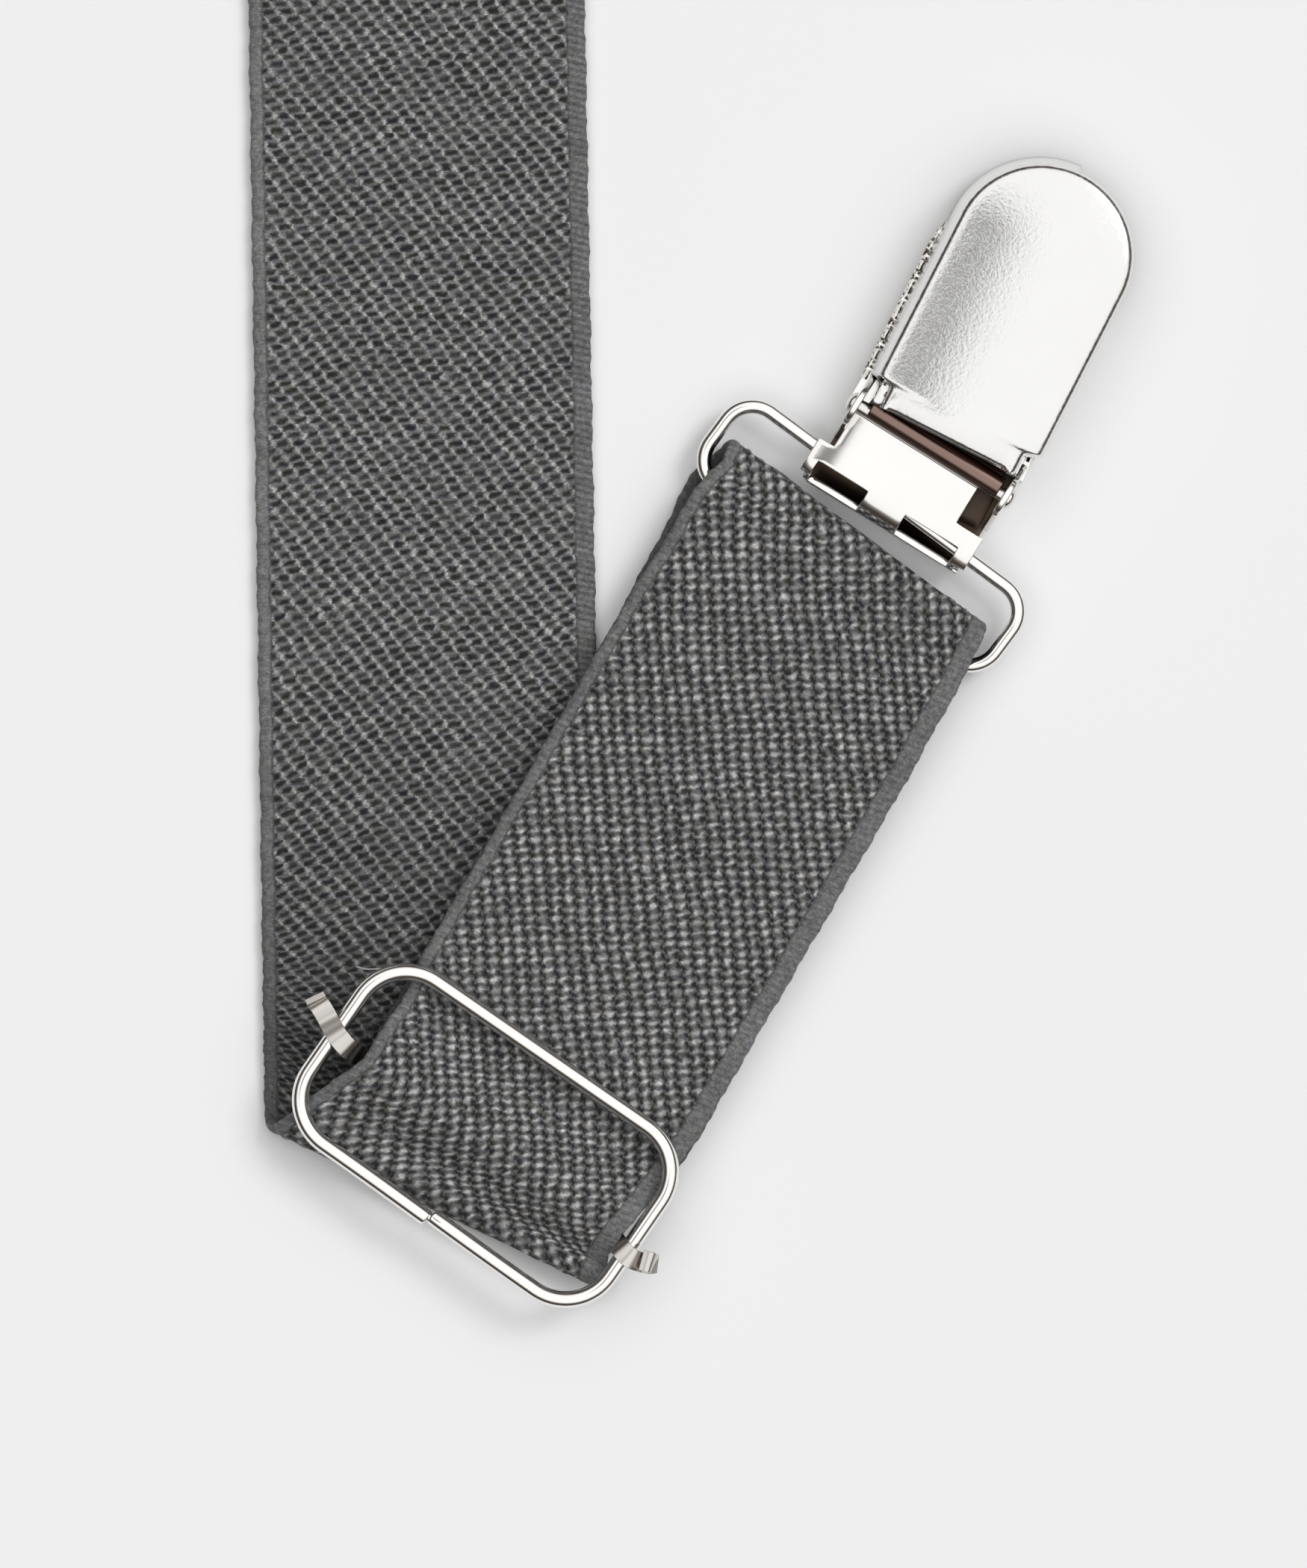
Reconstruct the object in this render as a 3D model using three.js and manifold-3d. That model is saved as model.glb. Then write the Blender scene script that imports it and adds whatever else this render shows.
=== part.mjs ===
// Clip-on suspenders, Y-back pattern, folded flat as they lie on a shelf.
// Two front straps with wire slide adjusters and hinged clips run to a leather
// yoke; one rear strap with a third clip leaves the top of the yoke.
// Millimetres, +Z up. The origin is the middle of the footprint, on the surface
// that the suspenders lie on.
import * as THREE from 'three';
import { mergeVertices } from 'three/addons/utils/BufferGeometryUtils.js';
import Module from 'manifold-3d';

const wasm = await Module();
wasm.setup();

// ---------------------------------------------------------------- dimensions
const WEB_T = 1.2;            // webbing thickness
const WEB_W = 35;             // webbing width
const GAP = 0.3;              // clearance between pieces that touch
const LEVEL = WEB_T + GAP;    // height of one layer of webbing
const Z0 = WEB_T / 2;         // middle of the lowest layer

const SLIDER = { w: 37.8, h: 20.8, corner: 5.6, r: 0.95, z: 5.45 };
const BAR = { half: 1.1, t: 0.8, z: 3.4 };
const RING = { w: 37.2, h: 9.5, corner: 3.0, r: 0.925, zLow: 2.43, zTop: 3.0 };

const CLIP = {
  wall: 0.9,                  // body sheet thickness
  half: 10.3,                 // half width over the ears
  hingeY: 6.6, hingeZ: 5.6,   // lever pin
  tipY: 38.6,                 // end of the lower jaw
  rim: 2.2,                   // top of the lower jaw's rim
  rollY: -0.425,              // centre of the roll round the ring
  hangerTop: 4.7,             // middle of the plate over the ring
  hangerEnd: 6.0,
};
const LEVER = { half: 9.7, wall: 0.8, y0: 8.0, arcY: 30.0, top: 9.0, low: 2.6 };
const LOOSE = { left: 5.0, right: 0, back: 0 };  // lean of the jaws and cover from square to the pin, degrees
const PIN = { r: 0.75, hole: 1.05, headR: 1.15, len: 10.65, head: 0.6 };

const CENTRE = [38.53, 118.81];  // footprint centre, in layout coordinates
const MIRROR_X = 38;          // the Y-back's line of symmetry
const FAR_Y = 262;            // far fold of the two front straps
const NEAR_Y = 97;            // near fold of their second run
const LEAN = 19.3;            // lean of the strap into the yoke, degrees

// ------------------------------------------------------------------ helpers
const rad = (d) => (d * Math.PI) / 180;
const lerp = (a, b, t) => a + (b - a) * t;
const easeDown = (t) => (1 + Math.cos(Math.PI * Math.min(1, Math.max(0, t)))) / 2;

function bufferFrom(points, faces) {
  const g = new THREE.BufferGeometry();
  g.setAttribute('position', new THREE.Float32BufferAttribute(points.flat(), 3));
  g.setIndex(faces.flat());
  return outward(g);
}

// signed volume decides which way the triangles must wind
function outward(g) {
  const p = g.getAttribute('position');
  const idx = g.index.array;
  let v = 0;
  const a = new THREE.Vector3();
  const b = new THREE.Vector3();
  const c = new THREE.Vector3();
  for (let i = 0; i < idx.length; i += 3) {
    a.fromBufferAttribute(p, idx[i]);
    b.fromBufferAttribute(p, idx[i + 1]);
    c.fromBufferAttribute(p, idx[i + 2]);
    v += a.dot(b.cross(c));
  }
  if (v < 0) {
    for (let i = 0; i < idx.length; i += 3) {
      const t = idx[i];
      idx[i] = idx[i + 1];
      idx[i + 1] = t;
    }
  }
  return g;
}

function toManifold(geometry) {
  let g = geometry.clone();
  g.deleteAttribute('normal');
  g.deleteAttribute('uv');
  g = mergeVertices(g, 1e-4);
  return new wasm.Manifold(new wasm.Mesh({
    numProp: 3,
    vertProperties: new Float32Array(g.getAttribute('position').array),
    triVerts: new Uint32Array(g.index.array),
  }));
}

function toGeometry(manifold) {
  const m = manifold.simplify(0.012).getMesh();
  const g = new THREE.BufferGeometry();
  const pos = new Float32Array((m.vertProperties.length / m.numProp) * 3);
  for (let i = 0; i < pos.length / 3; i++) {
    for (let k = 0; k < 3; k++) pos[3 * i + k] = m.vertProperties[m.numProp * i + k];
  }
  g.setAttribute('position', new THREE.BufferAttribute(pos, 3));
  g.setIndex(new THREE.BufferAttribute(new Uint32Array(m.triVerts), 1));
  return g;
}

const shapeOf = (pts) => new THREE.Shape(pts.map(([x, y]) => new THREE.Vector2(x, y)));

// outline in plan, between two heights
function slab(pts, z0, z1) {
  const g = new THREE.ExtrudeGeometry(shapeOf(pts), { depth: z1 - z0, bevelEnabled: false, curveSegments: 8 });
  g.translate(0, 0, z0);
  return toManifold(g);
}

// outline in the y-z plane, between two x
function rib(pts, x0, x1) {
  const g = new THREE.ExtrudeGeometry(shapeOf(pts), { depth: x1 - x0, bevelEnabled: false });
  g.applyMatrix4(new THREE.Matrix4().makeBasis(
    new THREE.Vector3(0, 1, 0), new THREE.Vector3(0, 0, 1), new THREE.Vector3(1, 0, 0)));
  g.translate(x0, 0, 0);
  return toManifold(g);
}

function box(x0, x1, y0, y1, z0, z1) {
  const g = new THREE.BoxGeometry(x1 - x0, y1 - y0, z1 - z0);
  g.translate((x0 + x1) / 2, (y0 + y1) / 2, (z0 + z1) / 2);
  return toManifold(g);
}

function rodX(r, x0, x1, y, z, sides = 16) {
  const g = new THREE.CylinderGeometry(r, r, x1 - x0, sides);
  g.rotateZ(Math.PI / 2);
  g.translate((x0 + x1) / 2, y, z);
  return toManifold(g);
}

// centre-line to a closed outline of a sheet of thickness t
function sheetOutline(mid, t) {
  const a = [];
  const b = [];
  for (let i = 0; i < mid.length; i++) {
    const p = mid[Math.max(0, i - 1)];
    const q = mid[Math.min(mid.length - 1, i + 1)];
    const l = Math.hypot(q[0] - p[0], q[1] - p[1]);
    const n = [-(q[1] - p[1]) / l, (q[0] - p[0]) / l];
    a.push([mid[i][0] + (n[0] * t) / 2, mid[i][1] + (n[1] * t) / 2]);
    b.push([mid[i][0] - (n[0] * t) / 2, mid[i][1] - (n[1] * t) / 2]);
  }
  return [...a, ...b.reverse()];
}

function arcPts(cx, cy, r, a0, a1, n) {
  const out = [];
  for (let i = 0; i <= n; i++) {
    const a = rad(lerp(a0, a1, i / n));
    out.push([cx + r * Math.cos(a), cy + r * Math.sin(a)]);
  }
  return out;
}

// closed loop of round wire following a rounded rectangle, tilted from one long
// side's height to the other's
function wireLoop(w, h, corner, r, zLow, zTop, sides = 8, steps = 4) {
  const path = [];
  const cx = w / 2 - corner;
  const cy = h / 2 - corner;
  [[cx, cy, 0], [-cx, cy, 90], [-cx, -cy, 180], [cx, -cy, 270]].forEach(([x, y, a]) => {
    arcPts(x, y, corner, a, a + 90, steps).forEach(([px, py], i) => {
      path.push({ p: [px, py], a: rad(a + (90 * i) / steps) });
    });
  });
  const pts = [];
  path.forEach(({ p, a }) => {
    const z = lerp(zLow, zTop, (p[1] + h / 2) / h);
    for (let k = 0; k < sides; k++) {
      const t = (2 * Math.PI * (k + 0.5)) / sides;
      pts.push([p[0] + r * Math.cos(t) * Math.cos(a), p[1] + r * Math.cos(t) * Math.sin(a), z + r * Math.sin(t)]);
    }
  });
  const faces = [];
  const n = path.length;
  for (let i = 0; i < n; i++) {
    const j = (i + 1) % n;
    for (let k = 0; k < sides; k++) {
      const m = (k + 1) % sides;
      faces.push([i * sides + k, j * sides + k, j * sides + m], [i * sides + k, j * sides + m, i * sides + m]);
    }
  }
  return bufferFrom(pts, faces);
}

// webbing: a ruled strip through stations, each a left and a right edge point
// at the middle of the thickness
function strip(stations, t) {
  const pts = [];
  const n = stations.length;
  const V = (p) => new THREE.Vector3(...p);
  stations.forEach((s, i) => {
    const a = stations[Math.max(0, i - 1)];
    const b = stations[Math.min(n - 1, i + 1)];
    const across = V(s.r).sub(V(s.l));
    [['l', 'l'], ['r', 'r']].forEach(([k]) => {
      const along = V(b[k]).sub(V(a[k]));
      const nor = across.clone().cross(along).normalize().multiplyScalar(t / 2);
      const p = V(s[k]);
      pts.push(p.clone().add(nor).toArray(), p.clone().sub(nor).toArray());
    });
  });
  // order in each station: left top, left bottom, right top, right bottom
  const faces = [];
  for (let i = 0; i + 1 < n; i++) {
    const a = 4 * i;
    const b = 4 * (i + 1);
    const quad = (p, q, u, v) => faces.push([p, q, u], [p, u, v]);
    quad(a, a + 2, b + 2, b);
    quad(a + 3, a + 1, b + 1, b + 3);
    quad(a + 1, a, b, b + 1);
    quad(a + 2, a + 3, b + 3, b + 2);
  }
  faces.push([0, 1, 3], [0, 3, 2]);
  const e = 4 * (n - 1);
  faces.push([e, e + 2, e + 3], [e, e + 3, e + 1]);
  return bufferFrom(pts, faces);
}

const st = (l, r, zl, zr = zl) => ({ l: [l[0], l[1], zl], r: [r[0], r[1], zr] });
const mix = (a, b, t) => ({
  l: a.l.map((v, i) => lerp(v, b.l[i], t)),
  r: a.r.map((v, i) => lerp(v, b.r[i], t)),
});
function run(out, a, b, n, zl = null, zr = null) {
  for (let i = 1; i <= n; i++) {
    const s = mix(a, b, i / n);
    if (zl) s.l[2] = zl(i / n);
    if (zr) s.r[2] = zr(i / n);
    out.push(s);
  }
}
// half turn of the strip about its ruling: out along n, from the height of the
// last station to z1; shift moves the ruling along itself as it turns
function turn(out, n, z1, steps, shift = [[0, 0], [0, 0]]) {
  const s = out[out.length - 1];
  const z = s.l[2];
  const r = Math.abs(z1 - z) / 2;
  for (let i = 1; i <= steps; i++) {
    const a = (Math.PI * i) / steps;
    const k = i / steps;
    const dz = (z1 - z) * (1 - Math.cos(a)) / 2;
    out.push({
      l: [s.l[0] + n[0] * r * Math.sin(a) + shift[0][0] * k, s.l[1] + n[1] * r * Math.sin(a) + shift[0][1] * k, z + dz],
      r: [s.r[0] + n[0] * r * Math.sin(a) + shift[1][0] * k, s.r[1] + n[1] * r * Math.sin(a) + shift[1][1] * k, z + dz],
    });
  }
}

// ------------------------------------------------------------- front straps
// levels at the slider: the sewn end wraps the bar, the running layer crosses
// over it and dips under both long wires
const Z_BACK = Z0 + LEVEL;                       // 2.1
const Z_WRAP = BAR.z + (BAR.z - Z_BACK);         // 4.7
const Z_OVER = Z_WRAP + LEVEL;                   // 6.2
const Z_DIP = Z_BACK + LEVEL;                    // 3.6

function sewnEnd(out, bl, br, n) {
  const at = (d, z) => st([bl[0] + n[0] * d, bl[1] + n[1] * d], [br[0] + n[0] * d, br[1] + n[1] * d], z);
  const c = -BAR.half + 0.25;
  const r = (Z_WRAP - Z_BACK) / 2;
  out.push(at(3.3, Z_DIP), at(1.7, 4.25), at(0.3, Z_WRAP), at(c, Z_WRAP));
  for (let i = 1; i <= 6; i++) {
    const a = (Math.PI * i) / 6;
    out.push(at(c - r * Math.sin(a), BAR.z + r * Math.cos(a)));
  }
  out.push(at(0.5, Z_BACK));
}

function leftStrap() {
  const s = [];
  const BL = [-30.2, -28.53];
  const BR = [-3.36, -47.04];
  const nb = [0.5678, 0.8231];
  sewnEnd(s, BL, BR, nb);
  // lower layer to the ring, above the long run and then down to the surface
  const ringL = [4.3, 32.7];
  const ringR = [31.8, 12.35];
  const b1 = st([-25.9, -20.9], [3.2, -39.2], Z_BACK);
  const b2 = st([-14.2, -0.8], [14.9, -18.6], 2.35, 1.75);
  const b3 = st([-4.0, 17.0], [24.9, -1.3], 2.3, 1.2);
  const b4 = st(ringL, ringR, Z0);
  run(s, s[s.length - 1], b1, 2);
  run(s, b1, b2, 2);
  run(s, b2, b3, 2);
  run(s, b3, b4, 3, (t) => lerp(2.3, Z0, 1 - easeDown(t)), (t) => lerp(1.2, Z0, 1 - easeDown(t)));
  // loop round the ring's lower bar
  const ng = [0.5915, 0.8063];
  const zf = RING.zLow + RING.r + GAP + WEB_T / 2;
  const r = (zf - Z0) / 2;
  const foldL = [8.62 - ng[0] * (r + 0.6), 35.77 - ng[1] * (r + 0.6)];
  const foldR = [35.38 - ng[0] * (r + 0.6), 16.13 - ng[1] * (r + 0.6)];
  const f0 = st([foldL[0] - 0.9, foldL[1] + 0.6], [foldR[0] - 0.9, foldR[1] + 0.6], Z0);
  s.push(f0);
  turn(s, ng, zf, 8, [[0.9, -0.6], [0.9, -0.6]]);
  const f1 = st([5.3, 32.0], [32.6, 11.7], zf);
  const f2 = st([-2.6, 19.4], [26.2, 0.1], 4.05, 3.75);
  const f3 = st([-13.1, 1.2], [16.1, -17.2], 4.0, 3.55);
  const f4 = st([-24.0, -17.8], [5.0, -36.1], Z_DIP);
  const bar = st(BL, BR, Z_OVER);
  const f5 = st([-26.2, -22.4], [0.6, -41.3], Z_DIP);
  s.push(f1);
  run(s, f1, f2, 2);
  run(s, f2, f3, 2);
  run(s, f3, f4, 2);
  s.push(f5);
  run(s, f5, bar, 5, (t) => lerp(Z_OVER, Z_DIP, easeDown(t)), (t) => lerp(Z_OVER, Z_DIP, easeDown(t)));
  // over the bar and down to the fold
  const nf = [-0.4305, -0.9026];
  const fall = (t) => lerp(Z_DIP, Z_OVER, easeDown(t / 0.8));
  const half = st([-34.2, -31.5], [-4.9, -48.9], Z_DIP);
  const top = st([-38.3, -34.57], [-5.2, -50.4], Z_DIP);
  run(s, bar, half, 3, (t) => fall(t / 2), (t) => fall(t / 2));
  run(s, half, top, 3, (t) => fall(0.5 + t / 2), (t) => fall(0.5 + t / 2));
  turn(s, nf, Z0, 8, [[-2.18, 1.03], [0.36, -0.14]]);
  longRuns(s, (y) => -42.15 + 0.0145 * (81.65 - y), (y) => -7.15 + 0.0175 * (81.65 - y));
  return s;
}

// the shared upper course of both front straps: up to the far fold, back to the
// near fold, then leaning into the yoke, where the end is mitred
function longRuns(s, xl, xr) {
  const at = (y, z, dl = 0, dr = 0) => st([xl(y + dl), y + dl], [xr(y + dr), y + dr], z);
  const last = s[s.length - 1];
  run(s, last, at(-20, Z0), 2);
  run(s, s[s.length - 1], at(FAR_Y, Z0), 6);
  turn(s, [0, 1], Z0 + LEVEL, 6);
  const h = (WEB_W / 2) * Math.tan(rad(LEAN / 2));
  run(s, s[s.length - 1], at(NEAR_Y + 12, Z0 + LEVEL), 4);
  run(s, s[s.length - 1], at(NEAR_Y, Z0 + LEVEL, h, -h), 2);
  const a = rad(LEAN / 2);
  const arc = Math.PI * (LEVEL / 2) * Math.tan(a);
  const sh = [arc * Math.cos(a), -arc * Math.sin(a)];
  turn(s, [-Math.sin(a), -Math.cos(a)], Z0 + 2 * LEVEL, 6, [sh, sh]);
  const d = [Math.sin(rad(LEAN)), Math.cos(rad(LEAN))];
  const z = Z0 + 2 * LEVEL;
  const l = s[s.length - 1].l;
  const r = s[s.length - 1].r;
  const toX = (p, x) => [x, p[1] + ((x - p[0]) * d[1]) / d[0]];
  const toY = (p, y) => [p[0] + ((y - p[1]) * d[0]) / d[1], y];
  const rEnd = toX(r, MIRROR_X - 0.5);
  const across = [d[1], -d[0]];
  const lEnd = [rEnd[0] - across[0] * WEB_W, rEnd[1] - across[1] * WEB_W];
  run(s, s[s.length - 1], st(lEnd, rEnd, z), 6);
  run(s, s[s.length - 1], st(toY(l, FAR_Y - 12), [rEnd[0], FAR_Y - 18], z), 2);
  run(s, s[s.length - 1], st(toY(l, FAR_Y), [rEnd[0], FAR_Y], z), 1);
}

// the other front strap is folded straight back on itself; built for the left
// hand and then mirrored into place
function rightStrap() {
  const s = [];
  const xc = -24.9;
  const h = WEB_W / 2;
  const zoff = LEVEL;
  const at = (y, z, hw = h) => st([xc - hw, y], [xc + hw, y], z);
  sewnEnd(s, [xc - 16.9, RIGHT.barY], [xc + 16.9, RIGHT.barY], [0, 1]);
  run(s, s[s.length - 1], at(RIGHT.barY + 14, Z_BACK), 1);
  run(s, s[s.length - 1], at(RIGHT.ringY, Z_BACK, 16.6), 3);
  const zf = RING.zLow + RING.r + GAP + WEB_T / 2 + zoff;
  const r = (zf - Z_BACK) / 2;
  s.push(at(RIGHT.ringY + 5.3 - r - 0.6, Z_BACK, 16.6));
  turn(s, [0, 1], zf, 8);
  s.push(at(RIGHT.ringY, zf, 16.6));
  run(s, s[s.length - 1], at(RIGHT.barY + 24, Z_DIP + 0.3), 3, (t) => lerp(Z_DIP + 0.3, zf, easeDown(t)), (t) => lerp(Z_DIP + 0.3, zf, easeDown(t)));
  run(s, s[s.length - 1], at(RIGHT.barY + 11, Z_DIP, 17.2), 1);
  run(s, s[s.length - 1], at(RIGHT.barY + 7, Z_DIP, 16.9), 1);
  run(s, s[s.length - 1], at(RIGHT.barY, Z_OVER, 16.9), 5, (t) => lerp(Z_OVER, Z_DIP, easeDown(t)), (t) => lerp(Z_OVER, Z_DIP, easeDown(t)));
  run(s, s[s.length - 1], at(RIGHT.barY - 10, Z_DIP), 6, (t) => lerp(Z_DIP, Z_OVER, easeDown(t / 0.75)), (t) => lerp(Z_DIP, Z_OVER, easeDown(t / 0.75)));
  turn(s, [0, -1], Z0, 8);
  longRuns(s, () => xc - h, () => xc + h);
  return s.map((q) => ({ l: [2 * MIRROR_X - q.r[0], q.r[1], q.r[2]], r: [2 * MIRROR_X - q.l[0], q.l[1], q.l[2]] }));
}

// ----------------------------------------------------------------- rear strap
const BACK = { ringY: 147, turnY: 290, tail: 28 };
function backStrap() {
  const s = [];
  const h = WEB_W / 2;
  const at = (y, z, hw = h) => st([MIRROR_X - hw, y], [MIRROR_X + hw, y], z);
  const zTop = Z0 + 2 * LEVEL;
  s.push(at(FAR_Y + 0.8, zTop));
  run(s, s[0], at(BACK.turnY, zTop), 2);
  turn(s, [0, 1], Z0, 8);
  run(s, s[s.length - 1], at(BACK.ringY + 14, Z0), 5);
  s.push(at(BACK.ringY, Z0, 16.6));
  const zf = RING.zLow + RING.r + GAP + WEB_T / 2;
  const r = (zf - Z0) / 2;
  s.push(at(BACK.ringY - 5.3 + r + 0.6, Z0, 16.6));
  turn(s, [0, -1], zf, 8);
  s.push(at(BACK.ringY, zf, 16.6));
  run(s, s[s.length - 1], at(BACK.ringY + 14, Z_BACK), 4, (t) => lerp(Z_BACK, zf, easeDown(t)), (t) => lerp(Z_BACK, zf, easeDown(t)));
  run(s, s[s.length - 1], at(BACK.ringY + BACK.tail, Z_BACK), 1);
  return s;
}

const RIGHT = { barY: -33, ringY: 31 };

// ----------------------------------------------------------------------- yoke
function yokePlate(z) {
  const pts = [
    [-19, 280], [19, 280], [22, 277], [40.5, 236], [40.5, 231], [38, 228.5],
    [3, 216], [-3, 216], [-38, 228.5], [-40.5, 231], [-40.5, 236], [-22, 277],
  ].map(([x, y]) => [x + MIRROR_X, y]);
  return toGeometry(slab(pts, z, z + 1.2));
}

// ------------------------------------------------------------------ slider bar
// a stamped strip under the webbing whose ends hook round the side wires
function sliderBar(sideX) {
  const t = BAR.t;
  const zb = BAR.z;
  const zw = SLIDER.z;
  const rr = SLIDER.r + GAP + t / 2;
  const cx = sideX;
  const hook = [];
  for (let i = 0; i <= 8; i++) {
    const a = rad(-90 - (215 * i) / 8);
    hook.push([-cx + rr * Math.cos(a), zw + rr * Math.sin(a)]);
  }
  const left = [...hook.reverse(), [-cx + 1.0, zb]];
  const right = left.map(([x, z]) => [-x, z]).reverse();
  const outline = sheetOutline([...left, ...right], t);
  const g = new THREE.ExtrudeGeometry(shapeOf(outline), { depth: 2 * BAR.half, bevelEnabled: false });
  // outline is in x-z, extruded along y
  g.applyMatrix4(new THREE.Matrix4().makeBasis(
    new THREE.Vector3(1, 0, 0), new THREE.Vector3(0, 0, 1), new THREE.Vector3(0, -1, 0)));
  g.translate(0, BAR.half, 0);
  return toGeometry(toManifold(g));
}

// ------------------------------------------------------------------------ clip
const jawOutline = (half, y0, arcY, rr) => [
  [-half, y0], [half, y0], ...arcPts(0, arcY, rr, 0, 180, 12),
];

// turn a solid about the middle of the pin by the lean of the jaws
function leaned(manifold, lean) {
  if (!lean) return manifold;
  const g = toGeometry(manifold);
  g.translate(0, -CLIP.hingeY, 0);
  g.rotateZ(rad(lean));
  g.translate(0, CLIP.hingeY, 0);
  return toManifold(g);
}

function clipBody(lean) {
  const w = CLIP.wall;
  const rollR = (CLIP.hangerTop - w / 2) / 2;
  const rollZ = w / 2 + rollR;
  const mid = [
    [CLIP.hangerEnd, CLIP.hangerTop],
    ...arcPts(CLIP.rollY, rollZ, rollR, 90, 270, 8),
    [10, w / 2],
  ];
  let m = rib(sheetOutline(mid, w), -9.35, 9.35);
  // the plate over the ring narrows beyond its shoulders
  m = m.subtract(box(-12, -7.9, 1.7, 7, 3, 7)).subtract(box(7.2, 12, 1.7, 7, 3, 7));
  // two windows either side of the tongue
  m = m.subtract(box(-7.2, -2.8, -2.45, -0.3, 3.1, 7)).subtract(box(2.8, 7.6, -2.45, -0.3, 3.1, 7));
  // lower jaw with a turned-up rim
  const arc = CLIP.tipY - CLIP.half;
  const rimY = 10.2;
  const rim = slab(jawOutline(CLIP.half, rimY, arc, CLIP.half), w - 0.2, CLIP.rim)
    .subtract(slab(jawOutline(CLIP.half - 0.7, rimY - 2, arc, CLIP.half - 0.7), w - 0.5, CLIP.rim + 1));
  const jaw = slab(jawOutline(CLIP.half, 8.0, arc, CLIP.half), 0, w).add(rim);
  m = m.add(box(-CLIP.half, CLIP.half, 3.0, 9.2, 0, w)).add(leaned(jaw, lean));
  // ears that carry the pin
  const ear = [
    [3.6, 0], [9.2, 0], [9.2, CLIP.hingeZ - 0.6],
    ...arcPts(CLIP.hingeY, CLIP.hingeZ, 2.4, 0, 180, 8),
    [3.6, CLIP.hingeZ - 1.4],
  ];
  m = m.add(rib(ear, CLIP.half - w, CLIP.half)).add(rib(ear, -CLIP.half, -CLIP.half + w));
  m = m.subtract(rodX(PIN.hole, -12, 12, CLIP.hingeY, CLIP.hingeZ, 12));
  // hollow of the jaw that the grip pad sits over
  return toGeometry(m);
}

// the hinged cover: it swings up on the pin, and its cam frees the inner jaw
function clipLever(lean) {
  const { half, wall, y0, arcY, top, low } = LEVER;
  let shell = slab(jawOutline(half, y0, arcY, half), low, top);
  shell = shell.subtract(slab(jawOutline(half - wall, y0 - 2, arcY, half - wall), low - 1, top - wall));
  // the side walls stop short of the body's ears
  shell = shell.subtract(box(-12, 12, 0, 10.6, low - 1, top - wall));
  let m = leaned(shell, lean);
  const ear = [
    ...arcPts(CLIP.hingeY, CLIP.hingeZ, 2.5, 60, 300, 8),
    [11.5, 4.2], [15, 5.5], [15, top - 0.5], [8.6, top - 0.5],
  ];
  m = m.add(rib(ear, 8.35, 9.15)).add(rib(ear, -9.15, -8.35));
  // cam plate down from the cover's rear edge
  const cam = [[8.2, 3.6], [8.9, 3.4], [9.2, 4.2], [9.2, top - 0.3], [8.3, top - 0.3]];
  m = m.add(rib(cam, -8.5, 8.5));
  m = m.subtract(rodX(PIN.hole, -12, 12, CLIP.hingeY, CLIP.hingeZ, 12));
  return toGeometry(m);
}

// spring jaw under the cover, toothed along its front edge
function clipJaw(lean) {
  const mid = [[10.2, 2.0], [11.4, 2.65], [20, 2.65], [31.6, 2.65], [33.2, 1.9]];
  let m = rib(sheetOutline(mid, 0.6), -7.4, 7.4);
  for (let i = 0; i < 7; i++) {
    const x = -6.3 + 2.1 * i;
    m = m.subtract(box(x - 0.45, x + 0.45, 32.4, 35, 0, 2.4));
  }
  m = m.subtract(box(-3, 3, 14, 22, 1, 4));
  return toGeometry(leaned(m, lean));
}

function jawGrip(lean) {
  const pts = [[-6.2, 22.5], [6.2, 22.5], [6.2, 29.6], [5.2, 31], [-5.2, 31], [-6.2, 29.6]];
  return toGeometry(leaned(slab(pts, 1.2, 2.0), lean));
}

function clipPin() {
  const { r, headR, len, head } = PIN;
  const prof = [
    [0, -len - head], [headR * 0.8, -len - head], [headR, -len - head + 0.2], [headR, -len], [r, -len],
    [r, len], [headR, len], [headR, len + head - 0.2], [headR * 0.8, len + head], [0, len + head],
  ].map(([x, y]) => new THREE.Vector2(x, y));
  const g = new THREE.LatheGeometry(prof, 12);
  g.rotateZ(Math.PI / 2);
  g.translate(0, CLIP.hingeY, CLIP.hingeZ);
  return toGeometry(toManifold(g));
}

// -------------------------------------------------------------------- assembly
const chrome = () => new THREE.MeshStandardMaterial({ color: 0xe9e9e7, roughness: 0.12, metalness: 1 });
const steel = () => new THREE.MeshStandardMaterial({ color: 0xb9b4ac, roughness: 0.3, metalness: 1 });
const webbing = () => new THREE.MeshStandardMaterial({ color: 0x5a5b5f, roughness: 0.9, metalness: 0 });
const leather = () => new THREE.MeshStandardMaterial({ color: 0x1c1a19, roughness: 0.55, metalness: 0 });
const plastic = () => new THREE.MeshStandardMaterial({ color: 0xe4e2dc, roughness: 0.5, metalness: 0 });

const model = new THREE.Group();
const layout = new THREE.Group();
layout.position.set(-CENTRE[0], -CENTRE[1], 0);
model.add(layout);

function piece(parent, name, geometry, material) {
  const m = new THREE.Mesh(geometry, material);
  m.name = name;
  parent.add(m);
  return m;
}

function addClip(side, x, y, angle, z) {
  const g = new THREE.Group();
  g.position.set(x, y, z);
  g.rotation.z = rad(-angle);
  layout.add(g);
  piece(g, `clip_body_${side}`, clipBody(LOOSE[side]), chrome());
  piece(g, `clip_lever_${side}`, clipLever(LOOSE[side]), chrome());
  piece(g, `clip_jaw_${side}`, clipJaw(LOOSE[side]), steel());
  piece(g, `clip_pin_${side}`, clipPin(), steel());
  piece(g, `jaw_grip_${side}`, jawGrip(LOOSE[side]), plastic());
}

function addRing(side, x, y, angle, z) {
  const g = new THREE.Group();
  g.position.set(x, y, z);
  g.rotation.z = rad(-angle);
  layout.add(g);
  piece(g, `clip_ring_${side}`, wireLoop(RING.w, RING.h, RING.corner, RING.r, RING.zLow, RING.zTop), chrome());
}

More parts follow.
